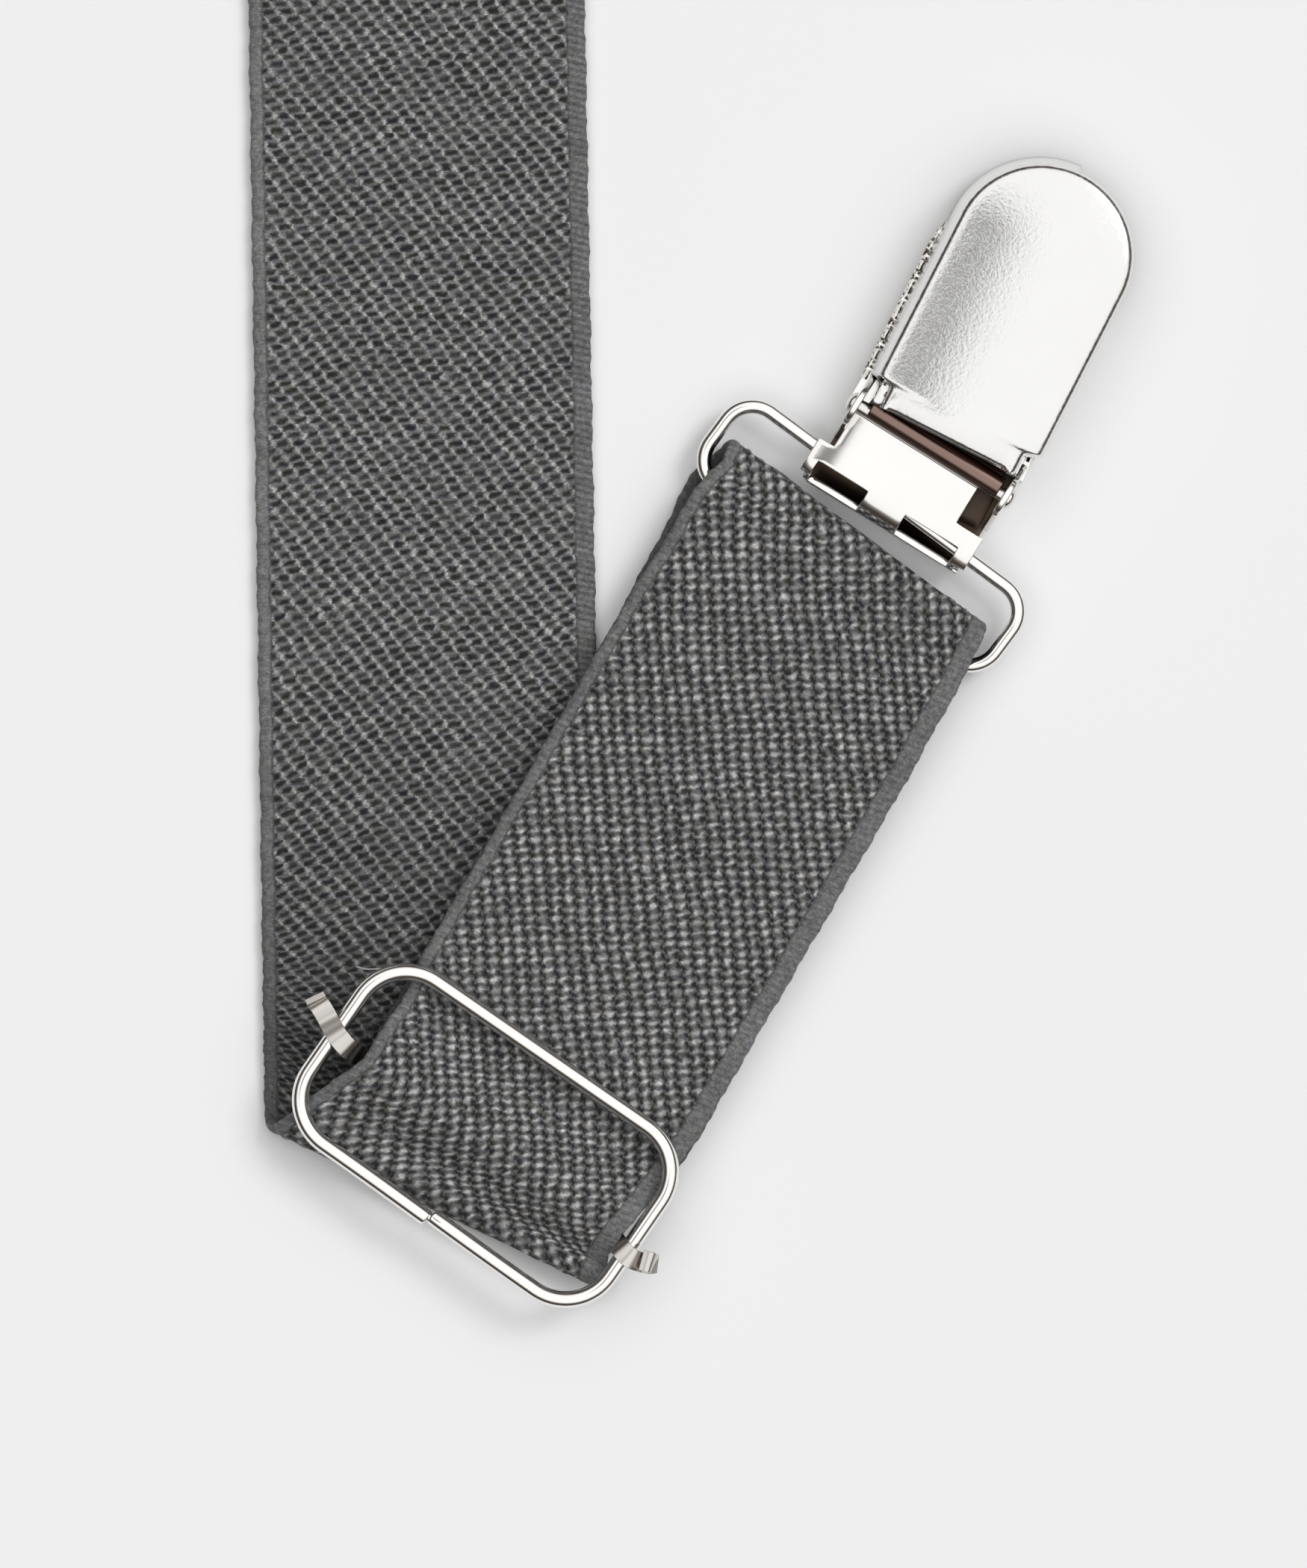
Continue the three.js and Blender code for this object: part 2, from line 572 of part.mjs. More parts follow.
function addSlider(side, frame, bar) {
  const g = new THREE.Group();
  g.position.set(frame[0], frame[1], 0);
  g.rotation.z = rad(-frame[2]);
  layout.add(g);
  piece(g, `slider_frame_${side}`, wireLoop(SLIDER.w, SLIDER.h, SLIDER.corner, SLIDER.r, SLIDER.z, SLIDER.z), chrome());
  const b = new THREE.Group();
  b.position.set(bar[0], bar[1], 0);
  b.rotation.z = rad(-bar[2]);
  layout.add(b);
  piece(b, `slider_bar_${side}`, sliderBar(SLIDER.w / 2), steel());
}

piece(layout, 'strap_left', strip(leftStrap(), WEB_T), webbing());
piece(layout, 'strap_right', strip(rightStrap(), WEB_T), webbing());
piece(layout, 'strap_back', strip(backStrap(), WEB_T), webbing());
piece(layout, 'yoke_back', yokePlate(Z0 + 2 * LEVEL - WEB_T / 2 - GAP - 1.2), leather());
piece(layout, 'yoke_front', yokePlate(Z0 + 2 * LEVEL + WEB_T / 2 + GAP), leather());

addSlider('left', [-17.5, -36.6, 34.6], [-17.85, -37.05, 34.6]);
addSlider('right', [2 * MIRROR_X + 24.9, RIGHT.barY + 0.8, 0], [2 * MIRROR_X + 24.9, RIGHT.barY, 0]);

addRing('left', 21.75, 25.7, 36.5, 0);
addClip('left', 25.3, 29.0, 32, 0);
addRing('right', 2 * MIRROR_X + 24.9, RIGHT.ringY + RING.h / 2, 0, LEVEL);
addClip('right', 2 * MIRROR_X + 24.9, RIGHT.ringY + RING.h, 0, LEVEL);
addRing('back', MIRROR_X, BACK.ringY - RING.h / 2, 180, 0);
addClip('back', MIRROR_X, BACK.ringY - RING.h, 180, 0);

export default model;
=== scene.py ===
# Clip-on suspenders, folded flat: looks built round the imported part.
import math
import bpy
import numpy as np
from mathutils import Matrix, Vector


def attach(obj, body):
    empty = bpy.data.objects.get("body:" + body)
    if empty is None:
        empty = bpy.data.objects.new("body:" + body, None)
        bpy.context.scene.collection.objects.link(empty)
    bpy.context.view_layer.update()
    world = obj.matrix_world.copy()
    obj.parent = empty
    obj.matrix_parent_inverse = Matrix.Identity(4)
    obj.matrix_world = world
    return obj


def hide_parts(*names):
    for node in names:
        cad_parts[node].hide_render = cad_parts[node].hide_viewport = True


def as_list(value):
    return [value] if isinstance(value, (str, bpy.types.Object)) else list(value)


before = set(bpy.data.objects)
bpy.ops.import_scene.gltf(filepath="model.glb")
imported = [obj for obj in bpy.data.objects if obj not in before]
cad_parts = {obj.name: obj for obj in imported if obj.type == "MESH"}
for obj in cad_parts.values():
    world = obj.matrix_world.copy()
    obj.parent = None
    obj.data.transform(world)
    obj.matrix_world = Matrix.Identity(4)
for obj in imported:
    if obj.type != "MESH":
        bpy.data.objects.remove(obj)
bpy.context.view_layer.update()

# ------------------------------------------------------------------ layout, mm
CX, CY = 38.53, 118.81
T = 1.2
GAP = 0.3
LEVEL = T + GAP
Z0 = T / 2
BAR_HALF, BAR_T, BAR_Z = 1.1, 0.8, 3.4
RING_R, RING_ZLOW, RING_ZTOP = 0.925, 2.43, 3.0
RING_W, RING_H, RING_C = 37.2, 9.5, 3.0
MIRROR_X, FAR_Y, NEAR_Y, LEAN = 38.0, 262.0, 97.0, 19.3
Z_BACK = Z0 + LEVEL
Z_WRAP = BAR_Z + (BAR_Z - Z_BACK)
Z_OVER = Z_WRAP + LEVEL
Z_DIP = Z_BACK + LEVEL
WEB = 35.0

CLIPS = {"left": (25.3, 29.0, 32.0, 0.0, 5.0), "right": (100.9, 40.5, 0.0, LEVEL, 0.0), "back": (38.0, 137.5, 180.0, 0.0, 0.0)}
RINGS = {"left": (21.75, 25.7, 36.5, 0.0), "right": (100.9, 35.75, 0.0, LEVEL), "back": (38.0, 142.25, 180.0, 0.0)}
FRAMES = {"left": (-17.5, -36.6, 34.6), "right": (100.9, -32.2, 0.0)}
BARS = {"left": (-17.85, -37.05, 34.6), "right": (100.9, -33.0, 0.0)}


def row(p):
    """layout mm to the row frame in metres"""
    p = np.asarray(p, float)
    return (p - np.array([CX, CY, 0.0])) / 1000.0


def lerp(a, b, t):
    return a + (b - a) * t


def ease_down(t):
    return (1 + math.cos(math.pi * min(1.0, max(0.0, t)))) / 2


# ------------------------------------------------------------------ materials
class Tree:
    def __init__(self, name):
        self.mat = bpy.data.materials.new(name)
        self.mat.use_nodes = True
        self.t = self.mat.node_tree
        self.t.nodes.clear()
        self.out = self.t.nodes.new("ShaderNodeOutputMaterial")

    def node(self, kind, **props):
        n = self.t.nodes.new(kind)
        for k, v in props.items():
            setattr(n, k, v)
        return n

    def put(self, socket, v):
        if isinstance(v, bpy.types.NodeSocket):
            self.t.links.new(v, socket)
        else:
            socket.default_value = v

    def m(self, op, a, b=None, c=None, clamp=False):
        n = self.node("ShaderNodeMath", operation=op, use_clamp=clamp)
        for i, v in enumerate((a, b, c)):
            if v is not None:
                self.put(n.inputs[i], v)
        return n.outputs[0]

    def attr(self, name):
        return self.node("ShaderNodeAttribute", attribute_name=name).outputs["Fac"]

    def vec(self, x, y, z=0.0):
        n = self.node("ShaderNodeCombineXYZ")
        for i, v in enumerate((x, y, z)):
            self.put(n.inputs[i], v)
        return n.outputs[0]

    def noise(self, vector, scale, detail=3.0, rough=0.55):
        n = self.node("ShaderNodeTexNoise")
        self.put(n.inputs["Vector"], vector)
        n.inputs["Scale"].default_value = scale
        n.inputs["Detail"].default_value = detail
        n.inputs["Roughness"].default_value = rough
        return n.outputs["Fac"]

    def step(self, lo, hi, x):
        n = self.node("ShaderNodeMapRange", interpolation_type="SMOOTHSTEP")
        self.put(n.inputs["Value"], x)
        n.inputs["From Min"].default_value = lo
        n.inputs["From Max"].default_value = hi
        return n.outputs[0]

    def mixc(self, fac, a, b):
        n = self.node("ShaderNodeMix", data_type="RGBA")
        self.put(n.inputs["Factor"], fac)
        for key, v in (("A", a), ("B", b)):
            sock = [i for i in n.inputs if i.name == key and i.type == "RGBA"][0]
            self.put(sock, v)
        return [o for o in n.outputs if o.type == "RGBA"][0]

    def bump(self, height, strength, distance):
        n = self.node("ShaderNodeBump")
        self.put(n.inputs["Height"], height)
        self.put(n.inputs["Strength"], strength)
        n.inputs["Distance"].default_value = distance
        return n.outputs[0]

    def finish(self, **sockets):
        p = self.node("ShaderNodeBsdfPrincipled")
        for k, v in sockets.items():
            self.put(p.inputs[k.replace("_", " ")], v)
        self.t.links.new(p.outputs[0], self.out.inputs["Surface"])
        return self.mat


def grey(v, warm=0.0):
    """sRGB 0-255 grey to a linear colour, warmer or cooler"""
    c = v / 255.0
    lin = c / 12.92 if c <= 0.04045 else ((c + 0.055) / 1.055) ** 2.4
    return (lin * (1 + warm), lin, lin * (1 - warm), 1.0)


WEAVE = {"A": (1.80, 0.774, 1.0), "B": (1.85, 0.80, -1.0)}
FACE = {
    # dark dashes in a mid-grey net with lighter spots, which are painted highlights on the raised yarn / light floats
    # over dark gaps, which are painted shade
    "A": dict(net=grey(109, -0.008), dash=grey(8, -0.03), painted_highlight=grey(176, 0.004)),
    # gap: painted shade, the near-black colour between the floats
    "B": dict(gap=grey(5, -0.03), float=grey(184, 0.0)),
}
SEL = {"A": (1.35, 1.9), "B": (1.3, 2.1)}


def webbing_material(face, fine):
    px, py, hand = WEAVE[face]
    t = Tree(f"webbing_{face}_{'fine' if fine else 'plain'}")
    v0, s0 = t.attr("wv"), t.attr("ws")
    # the same gentle wander of the yarns as in the mesh, plus a finer one
    w1 = t.noise(t.vec(t.m("MULTIPLY", v0, 0.75), t.m("MULTIPLY", s0, 0.95)), 1.0, 2.0, 0.6)
    w2 = t.noise(t.vec(t.m("MULTIPLY", v0, 0.75), t.m("MULTIPLY", s0, 0.95), 7.3), 1.0, 2.0, 0.6)
    v = t.m("ADD", v0, t.m("MULTIPLY", t.m("SINE", t.m("ADD", t.m("MULTIPLY", s0, 0.62), t.m("MULTIPLY", t.m("SINE", t.m("MULTIPLY", v0, 0.21)), 1.3))), 0.09))
    s = t.m("ADD", s0, t.m("MULTIPLY", t.m("SINE", t.m("ADD", t.m("MULTIPLY", v0, 0.33), t.m("MULTIPLY", t.m("SINE", t.m("MULTIPLY", s0, 0.13)), 0.8))), 0.16))
    v = t.m("ADD", v, t.m("MULTIPLY", t.m("SUBTRACT", w1, 0.5), 1.35))
    s = t.m("ADD", s, t.m("MULTIPLY", t.m("SUBTRACT", w2, 0.5), 0.75))
    two = lambda lo, hi, x: t.m("MULTIPLY", t.step(lo, hi, x), t.step(lo, hi, t.m("SUBTRACT", 1.0, x)))
    wn = t.node("ShaderNodeTexWhiteNoise", noise_dimensions="2D")
    rnd = wn.outputs["Value"]
    if face == "A":
        js = t.m("DIVIDE", s, py)
        j = t.m("FLOOR", js)
        ph = t.m("ADD", t.m("DIVIDE", v, px), t.m("MULTIPLY", j, hand / 3.0))
        c = t.m("FLOOR", ph)
        fx = t.m("SUBTRACT", ph, c)
        # each dark float leans a little
        fy = t.m("SUBTRACT", t.m("SUBTRACT", js, j), t.m("MULTIPLY", t.m("SUBTRACT", fx, 0.5), 0.42), clamp=True)
        bell = t.m("POWER", t.m("SINE", t.m("MULTIPLY", fy, math.pi)), 0.75)
        w = t.m("MULTIPLY", two(0.10, 0.33, fx), bell)
        # painted highlight: the raised yarn between the dark dashes is coloured lighter
        fz = t.m("FRACT", t.m("ADD", fx, 0.5))
        painted_highlight = t.m("MULTIPLY", two(0.30, 0.47, fz), bell)
        t.put(wn.inputs["Vector"], t.vec(j, c))
        col = t.mixc(t.m("MULTIPLY", painted_highlight, t.m("ADD", 0.35, t.m("MULTIPLY", rnd, 0.75)), clamp=True), FACE["A"]["net"], FACE["A"]["painted_highlight"])
        col = t.mixc(t.m("MULTIPLY", w, t.m("ADD", 0.84, t.m("MULTIPLY", rnd, 0.3)), clamp=True), col, FACE["A"]["dash"])
    else:
        al = t.m("DIVIDE", t.m("SUBTRACT", v, t.m("MULTIPLY", s, 0.617 / py)), px)
        be = t.m("ADD", t.m("DIVIDE", s, py), al)
        ca, cb = t.m("FLOOR", al), t.m("FLOOR", be)
        fa = t.m("SUBTRACT", al, ca)
        fb = t.m("FRACT", t.m("ADD", t.m("SUBTRACT", be, cb), t.m("MULTIPLY", t.m("SUBTRACT", fa, 0.5), 0.40)))
        wa, wb = two(0.10, 0.50, fa), two(0.10, 0.52, fb)
        t.put(wn.inputs["Vector"], t.vec(ca, cb))
        w = t.m("MULTIPLY", wa, wb)
        # painted shade: the gaps between the floats are near-black; the floats keep their light yarn colour with a
        # random tone each
        float_vs_gap_shade = t.m("ADD", t.m("ADD", t.m("MULTIPLY", wa, 0.26), t.m("MULTIPLY", wb, 0.24)), t.m("MULTIPLY", w, t.m("ADD", 0.18, t.m("MULTIPLY", rnd, 0.62))), clamp=True)
        col = t.mixc(float_vs_gap_shade, FACE["B"]["gap"], FACE["B"]["float"])
    fibre = t.noise(t.vec(t.m("MULTIPLY", v0, 2.6), t.m("MULTIPLY", s0, 5.5)), 1.0, 3.0, 0.6)
    patch = t.noise(t.vec(t.m("MULTIPLY", v0, 0.09), t.m("MULTIPLY", s0, 0.30)), 1.0, 3.0, 0.6)
    grain = t.noise(t.vec(t.m("MULTIPLY", v0, 1.5), t.m("MULTIPLY", s0, 1.5)), 1.0, 4.0, 0.7)
    hue = t.noise(t.vec(t.m("MULTIPLY", v0, 0.9), t.m("MULTIPLY", s0, 0.9), 3.1), 1.0, 2.0, 0.5)
    # selvedges
    lw, rw = SEL[face]
    le = t.step(-WEB / 2 + lw + 0.18, -WEB / 2 + lw - 0.05, v0)
    re = t.step(WEB / 2 - rw - 0.18, WEB / 2 - rw + 0.05, v0)
    edge = t.m("ADD", le, re, clamp=True)
    rib = t.m("ADD", 0.5, t.m("MULTIPLY", t.m("SINE", t.m("MULTIPLY", t.m("ADD", s0, t.m("MULTIPLY", v0, 0.25)), 2 * math.pi / 0.72)), 0.5))
    ribs = t.m("MULTIPLY", re if face == "A" else edge, rib)
    smooth = t.mixc(t.m("MULTIPLY", ribs, 0.55 if face == "A" else 0.3), grey(114, -0.01), grey(56, -0.02))
    col = t.mixc(edge, col, smooth)
    groove = t.m("MULTIPLY", t.step(0.22, 0.0, t.m("ABSOLUTE", t.m("SUBTRACT", v0, -WEB / 2 + lw))), 0.55)
    groove2 = t.m("MULTIPLY", t.step(0.22, 0.0, t.m("ABSOLUTE", t.m("SUBTRACT", v0, WEB / 2 - rw))), 0.55)
    col = t.mixc(t.m("MAXIMUM", groove, groove2), col, grey(36, -0.02))
    tone = t.m("MULTIPLY", t.m("ADD", 0.15, t.m("MULTIPLY", fibre, 1.7)), t.m("ADD", 0.66, t.m("MULTIPLY", patch, 0.68)))
    if fine and face == "A":
        # painted shade: the tone falls off towards the bottom fold
        tone = t.m("MULTIPLY", tone, t.m("ADD", 0.56, t.m("MULTIPLY", t.step(178.0, 236.0, s0), 0.44)))
    tone = t.m("MULTIPLY", tone, t.m("MAXIMUM", t.m("ADD", -0.05, t.m("MULTIPLY", grain, 2.1)), 0.15))
    hsv = t.node("ShaderNodeHueSaturation")
    t.put(hsv.inputs["Color"], t.mixc(t.step(0.38, 0.62, hue), t.mixc(0.10, col, (0.16, 0.17, 0.22, 1)), t.mixc(0.10, col, (0.22, 0.21, 0.165, 1))))
    t.put(hsv.inputs["Value"], tone)
    h = t.m("ADD", t.m("MULTIPLY", w, 0.10 if face == "B" else -0.09), t.m("MULTIPLY", ribs, -0.05))
    h = t.m("ADD", t.m("MULTIPLY", h, 0.12 if fine else 1.0), t.m("MULTIPLY", fibre, 0.05))
    return t.finish(Base_Color=hsv.outputs[0], Roughness=0.82, Normal=t.bump(h, 0.8, 0.001),
                    Specular_IOR_Level=0.18, Sheen_Weight=0.05, Sheen_Roughness=0.5)


def metal_material(name, colour, rough, mottle=0.04, scale=900.0, bump=0.000002, spread=0.03, stretch=(1, 1, 1)):
    t = Tree(name)
    co = t.node("ShaderNodeTexCoord").outputs["Object"]
    mp = t.node("ShaderNodeMapping")
    t.put(mp.inputs["Vector"], co)
    mp.inputs["Scale"].default_value = stretch
    n1 = t.noise(mp.outputs[0], scale, 4.0, 0.6)
    n2 = t.noise(mp.outputs[0], scale * 0.12, 2.0, 0.5)
    r = t.m("ADD", rough, t.m("MULTIPLY", t.m("SUBTRACT", n1, 0.5), spread))
    dark = tuple(c * (1 - mottle) for c in colour[:3]) + (1.0,)
    col = t.mixc(n2, colour, dark)
    return t.finish(Base_Color=col, Metallic=1.0, Roughness=r, Normal=t.bump(n1, 0.5, bump))


def leather_material():
    t = Tree("leather_black")
    co = t.node("ShaderNodeTexCoord").outputs["Object"]
    vor = t.node("ShaderNodeTexVoronoi", feature="DISTANCE_TO_EDGE")
    t.put(vor.inputs["Vector"], co)
    vor.inputs["Scale"].default_value = 900.0
    cell = t.step(0.0, 0.12, vor.outputs["Distance"])
    n = t.noise(co, 260.0, 5.0, 0.6)
    col = t.mixc(n, grey(28, 0.03), grey(44, 0.04))
    h = t.m("ADD", t.m("MULTIPLY", cell, 0.6), t.m("MULTIPLY", n, 0.5))
    return t.finish(Base_Color=col, Roughness=t.m("ADD", 0.42, t.m("MULTIPLY", n, 0.2)), Normal=t.bump(h, 0.6, 0.00012))


def plain_material(name, c1, c2, rough, scale, metallic=0.0):
    t = Tree(name)
    co = t.node("ShaderNodeTexCoord").outputs["Object"]
    n = t.noise(co, scale, 4.0, 0.6)
    return t.finish(Base_Color=t.mixc(n, c1, c2), Roughness=rough, Metallic=metallic, Normal=t.bump(n, 0.4, 0.00003))


MATS = {
    "Af": webbing_material("A", True), "Bf": webbing_material("B", True),
    "Ac": webbing_material("A", False), "Bc": webbing_material("B", False),
}
WEB_SLOTS = ["Af", "Bf", "Ac", "Bc"]
CHROME_WIRE = metal_material("chrome_wire", (0.90, 0.89, 0.87, 1), 0.10)
CHROME_BODY = metal_material("chrome_body", (0.90, 0.885, 0.86, 1), 0.13, 0.08)
CHROME_COVER = metal_material("chrome_cover", (0.815, 0.81, 0.80, 1), 0.10, 0.03, 2600.0, 0.00006)
STEEL_STRIP = metal_material("steel_strip", (0.70, 0.67, 0.63, 1), 0.26, 0.18, 1200.0)
STEEL_JAW = metal_material("steel_jaw", (0.10, 0.075, 0.058, 1), 0.42, 0.3, 1000.0)
STEEL_PIN = metal_material("steel_pin", (0.80, 0.78, 0.75, 1), 0.16, 0.1)
GRIP = plain_material("grip_pad", grey(214), grey(196, 0.02), 0.5, 900.0)
LEATHER = leather_material()
THREAD = plain_material("thread_grey", grey(120, -0.03), grey(84, -0.05), 0.8, 3000.0)
YARN = plain_material("yarn_light", grey(196), grey(170), 0.7, 3000.0)
THREAD_DARK = plain_material("thread_black", grey(38), grey(58), 0.7, 3000.0)


# --------------------------------------------------------------------- objects
def add(name, verts_row, faces, mats, face_mat=None, smooth=True, attrs=None):
    me = bpy.data.meshes.new(name)
    v = np.asarray(verts_row, float)
    me.from_pydata(v.tolist(), [], faces if isinstance(faces, list) else faces.tolist())
    for m in mats:
        me.materials.append(m)
    if face_mat is not None:
        me.polygons.foreach_set("material_index", np.asarray(face_mat, np.int32))
    me.polygons.foreach_set("use_smooth", np.full(len(me.polygons), bool(smooth)))
    for k, a in (attrs or {}).items():
        at = me.attributes.new(k, "FLOAT", "POINT")
        at.data.foreach_set("value", np.asarray(a, np.float32))
    me.update()
    o = bpy.data.objects.new(name, me)
    bpy.context.scene.collection.objects.link(o)
    return o


# ---------------------------------------------------------------- strap layout
def st(l, r, zl, zr=None):
    zr = zl if zr is None else zr
    return np.array([l[0], l[1], zl, r[0], r[1], zr], float)


def run(out, a, b, n, zl=None, zr=None):
    for i in range(1, n + 1):
        s = lerp(a, b, i / n)
        if zl:
            s[2] = zl(i / n)
        if zr:
            s[5] = zr(i / n)
        out.append(s)


def turn(out, n, z1, steps, shift=((0, 0), (0, 0))):
    s = out[-1].copy()
    z = s[2]
    r = abs(z1 - z) / 2
    for i in range(1, steps + 1):
        a = math.pi * i / steps
        k = i / steps
        dz = (z1 - z) * (1 - math.cos(a)) / 2
        out.append(np.array([
            s[0] + n[0] * r * math.sin(a) + shift[0][0] * k, s[1] + n[1] * r * math.sin(a) + shift[0][1] * k, z + dz,
            s[3] + n[0] * r * math.sin(a) + shift[1][0] * k, s[4] + n[1] * r * math.sin(a) + shift[1][1] * k, z + dz]))


def sewn_end(out, bl, br, n):
    def at(d, z):
        return st([bl[0] + n[0] * d, bl[1] + n[1] * d], [br[0] + n[0] * d, br[1] + n[1] * d], z)
    c = -BAR_HALF + 0.25
    r = (Z_WRAP - Z_BACK) / 2
    out += [at(3.3, Z_DIP), at(1.7, 4.25), at(0.3, Z_WRAP), at(c, Z_WRAP)]
    for i in range(1, 7):
        a = math.pi * i / 6
        out.append(at(c - r * math.sin(a), BAR_Z + r * math.cos(a)))
    out.append(at(0.5, Z_BACK))


def long_runs(s, xl, xr):
    def at(y, z, dl=0.0, dr=0.0):
        return st([xl(y + dl), y + dl], [xr(y + dr), y + dr], z)
    run(s, s[-1], at(-20, Z0), 2)
    run(s, s[-1], at(FAR_Y, Z0), 6)
    turn(s, [0, 1], Z0 + LEVEL, 6)
    h = (WEB / 2) * math.tan(math.radians(LEAN / 2))
    run(s, s[-1], at(NEAR_Y + 12, Z0 + LEVEL), 4)
    run(s, s[-1], at(NEAR_Y, Z0 + LEVEL, h, -h), 2)
    a = math.radians(LEAN / 2)
    arc = math.pi * (LEVEL / 2) * math.tan(a)
    sh = [arc * math.cos(a), -arc * math.sin(a)]
    turn(s, [-math.sin(a), -math.cos(a)], Z0 + 2 * LEVEL, 6, [sh, sh])
    d = [math.sin(math.radians(LEAN)), math.cos(math.radians(LEAN))]
    z = Z0 + 2 * LEVEL
    l, r = s[-1][:3].copy(), s[-1][3:].copy()
    to_x = lambda p, x: [x, p[1] + ((x - p[0]) * d[1]) / d[0]]
    to_y = lambda p, y: [p[0] + ((y - p[1]) * d[0]) / d[1], y]
    r_end = to_x(r, MIRROR_X - 0.5)
    across = [d[1], -d[0]]
    l_end = [r_end[0] - across[0] * WEB, r_end[1] - across[1] * WEB]
    run(s, s[-1], st(l_end, r_end, z), 6)
    run(s, s[-1], st(to_y(l, FAR_Y - 12), [r_end[0], FAR_Y - 18], z), 2)
    run(s, s[-1], st(to_y(l, FAR_Y), [r_end[0], FAR_Y], z), 1)


def left_stations():
    s = []
    BL, BR = [-30.2, -28.53], [-3.36, -47.04]
    sewn_end(s, BL, BR, [0.5678, 0.8231])
    b1 = st([-25.9, -20.9], [3.2, -39.2], Z_BACK)
    b2 = st([-14.2, -0.8], [14.9, -18.6], 2.35, 1.75)
    b3 = st([-4.0, 17.0], [24.9, -1.3], 2.3, 1.2)
    b4 = st([4.3, 32.7], [31.8, 12.35], Z0)
    run(s, s[-1], b1, 2)
    run(s, b1, b2, 2)
    run(s, b2, b3, 2)
    run(s, b3, b4, 3, lambda t: lerp(2.3, Z0, 1 - ease_down(t)), lambda t: lerp(1.2, Z0, 1 - ease_down(t)))
    ng = [0.5915, 0.8063]
    zf = RING_ZLOW + RING_R + GAP + T / 2
    r = (zf - Z0) / 2
    fl = [8.62 - ng[0] * (r + 0.6), 35.77 - ng[1] * (r + 0.6)]
    fr = [35.25 - ng[0] * (r + 0.6), 16.23 - ng[1] * (r + 0.6)]
    s.append(st([fl[0] - 0.9, fl[1] + 0.6], [fr[0] - 0.9, fr[1] + 0.6], Z0))
    turn(s, ng, zf, 8, [[0.9, -0.6], [0.9, -0.6]])
    f1 = st([5.3, 32.0], [32.6, 11.7], zf)
    f2 = st([-2.6, 19.4], [26.2, 0.1], 4.05, 3.75)
    f3 = st([-13.1, 1.2], [16.1, -17.2], 4.0, 3.55)
    f4 = st([-24.0, -17.8], [5.0, -36.1], Z_DIP)
    bar = st(BL, BR, Z_OVER)
    f5 = st([-26.2, -22.4], [1.1, -41.6], Z_DIP)
    s.append(f1)
    run(s, f1, f2, 2)
    run(s, f2, f3, 2)
    run(s, f3, f4, 2)
    s.append(f5)
    up = lambda t: lerp(Z_OVER, Z_DIP, ease_down(t))
    run(s, f5, bar, 5, up, up)
    fall = lambda t: lerp(Z_DIP, Z_OVER, ease_down(t / 0.86))
    half = st([-34.2, -31.5], [-4.8, -48.95], Z_DIP)
    top = st([-38.3, -34.57], [-5.1, -50.6], Z_DIP)
    run(s, bar, half, 3, lambda t: fall(t / 2), lambda t: fall(t / 2))
    run(s, half, top, 3, lambda t: fall(0.5 + t / 2), lambda t: fall(0.5 + t / 2))
    turn(s, [-0.4305, -0.9026], Z0, 8, [[-2.18, 1.03], [0.36, -0.14]])
    long_runs(s, lambda y: -42.15 + 0.0145 * (81.65 - y), lambda y: -7.15 + 0.0175 * (81.65 - y))
    return s


BAR_Y, RING_Y = -33.0, 31.0


def right_stations():
    s = []
    xc, h, zoff = -24.9, WEB / 2, LEVEL
    at = lambda y, z, hw=h: st([xc - hw, y], [xc + hw, y], z)
    sewn_end(s, [xc - 16.9, BAR_Y], [xc + 16.9, BAR_Y], [0, 1])
    run(s, s[-1], at(BAR_Y + 14, Z_BACK), 1)
    run(s, s[-1], at(RING_Y, Z_BACK, 16.6), 3)
    zf = RING_ZLOW + RING_R + GAP + T / 2 + zoff
    r = (zf - Z_BACK) / 2
    s.append(at(RING_Y + 5.3 - r - 0.6, Z_BACK, 16.6))
    turn(s, [0, 1], zf, 8)
    s.append(at(RING_Y, zf, 16.6))
    f = lambda t: lerp(Z_DIP + 0.3, zf, ease_down(t))
    run(s, s[-1], at(BAR_Y + 24, Z_DIP + 0.3), 3, f, f)
    run(s, s[-1], at(BAR_Y + 11, Z_DIP, 17.2), 1)
    run(s, s[-1], at(BAR_Y + 7, Z_DIP, 16.9), 1)
    f = lambda t: lerp(Z_OVER, Z_DIP, ease_down(t))
    run(s, s[-1], at(BAR_Y, Z_OVER, 16.9), 5, f, f)
    f = lambda t: lerp(Z_DIP, Z_OVER, ease_down(t / 0.75))
    run(s, s[-1], at(BAR_Y - 10, Z_DIP), 6, f, f)
    turn(s, [0, -1], Z0, 8)
    long_runs(s, lambda y: xc - h, lambda y: xc + h)
    return [np.array([2 * MIRROR_X - q[3], q[4], q[5], 2 * MIRROR_X - q[0], q[1], q[2]]) for q in s]


def back_stations():
    s = []
    h = WEB / 2
    at = lambda y, z, hw=h: st([MIRROR_X - hw, y], [MIRROR_X + hw, y], z)
    z_top = Z0 + 2 * LEVEL
    s.append(at(FAR_Y + 0.8, z_top))
    run(s, s[0], at(290, z_top), 2)
    turn(s, [0, 1], Z0, 8)
    run(s, s[-1], at(147 + 14, Z0), 5)
    s.append(at(147, Z0, 16.6))
    zf = RING_ZLOW + RING_R + GAP + T / 2
    r = (zf - Z0) / 2
    s.append(at(147 - 5.3 + r + 0.6, Z0, 16.6))
    turn(s, [0, -1], zf, 8)
    s.append(at(147, zf, 16.6))
    f = lambda t: lerp(Z_BACK, zf, ease_down(t))
    run(s, s[-1], at(147 + 14, Z_BACK), 4, f, f)
    run(s, s[-1], at(147 + 28, Z_BACK), 1)
    return s


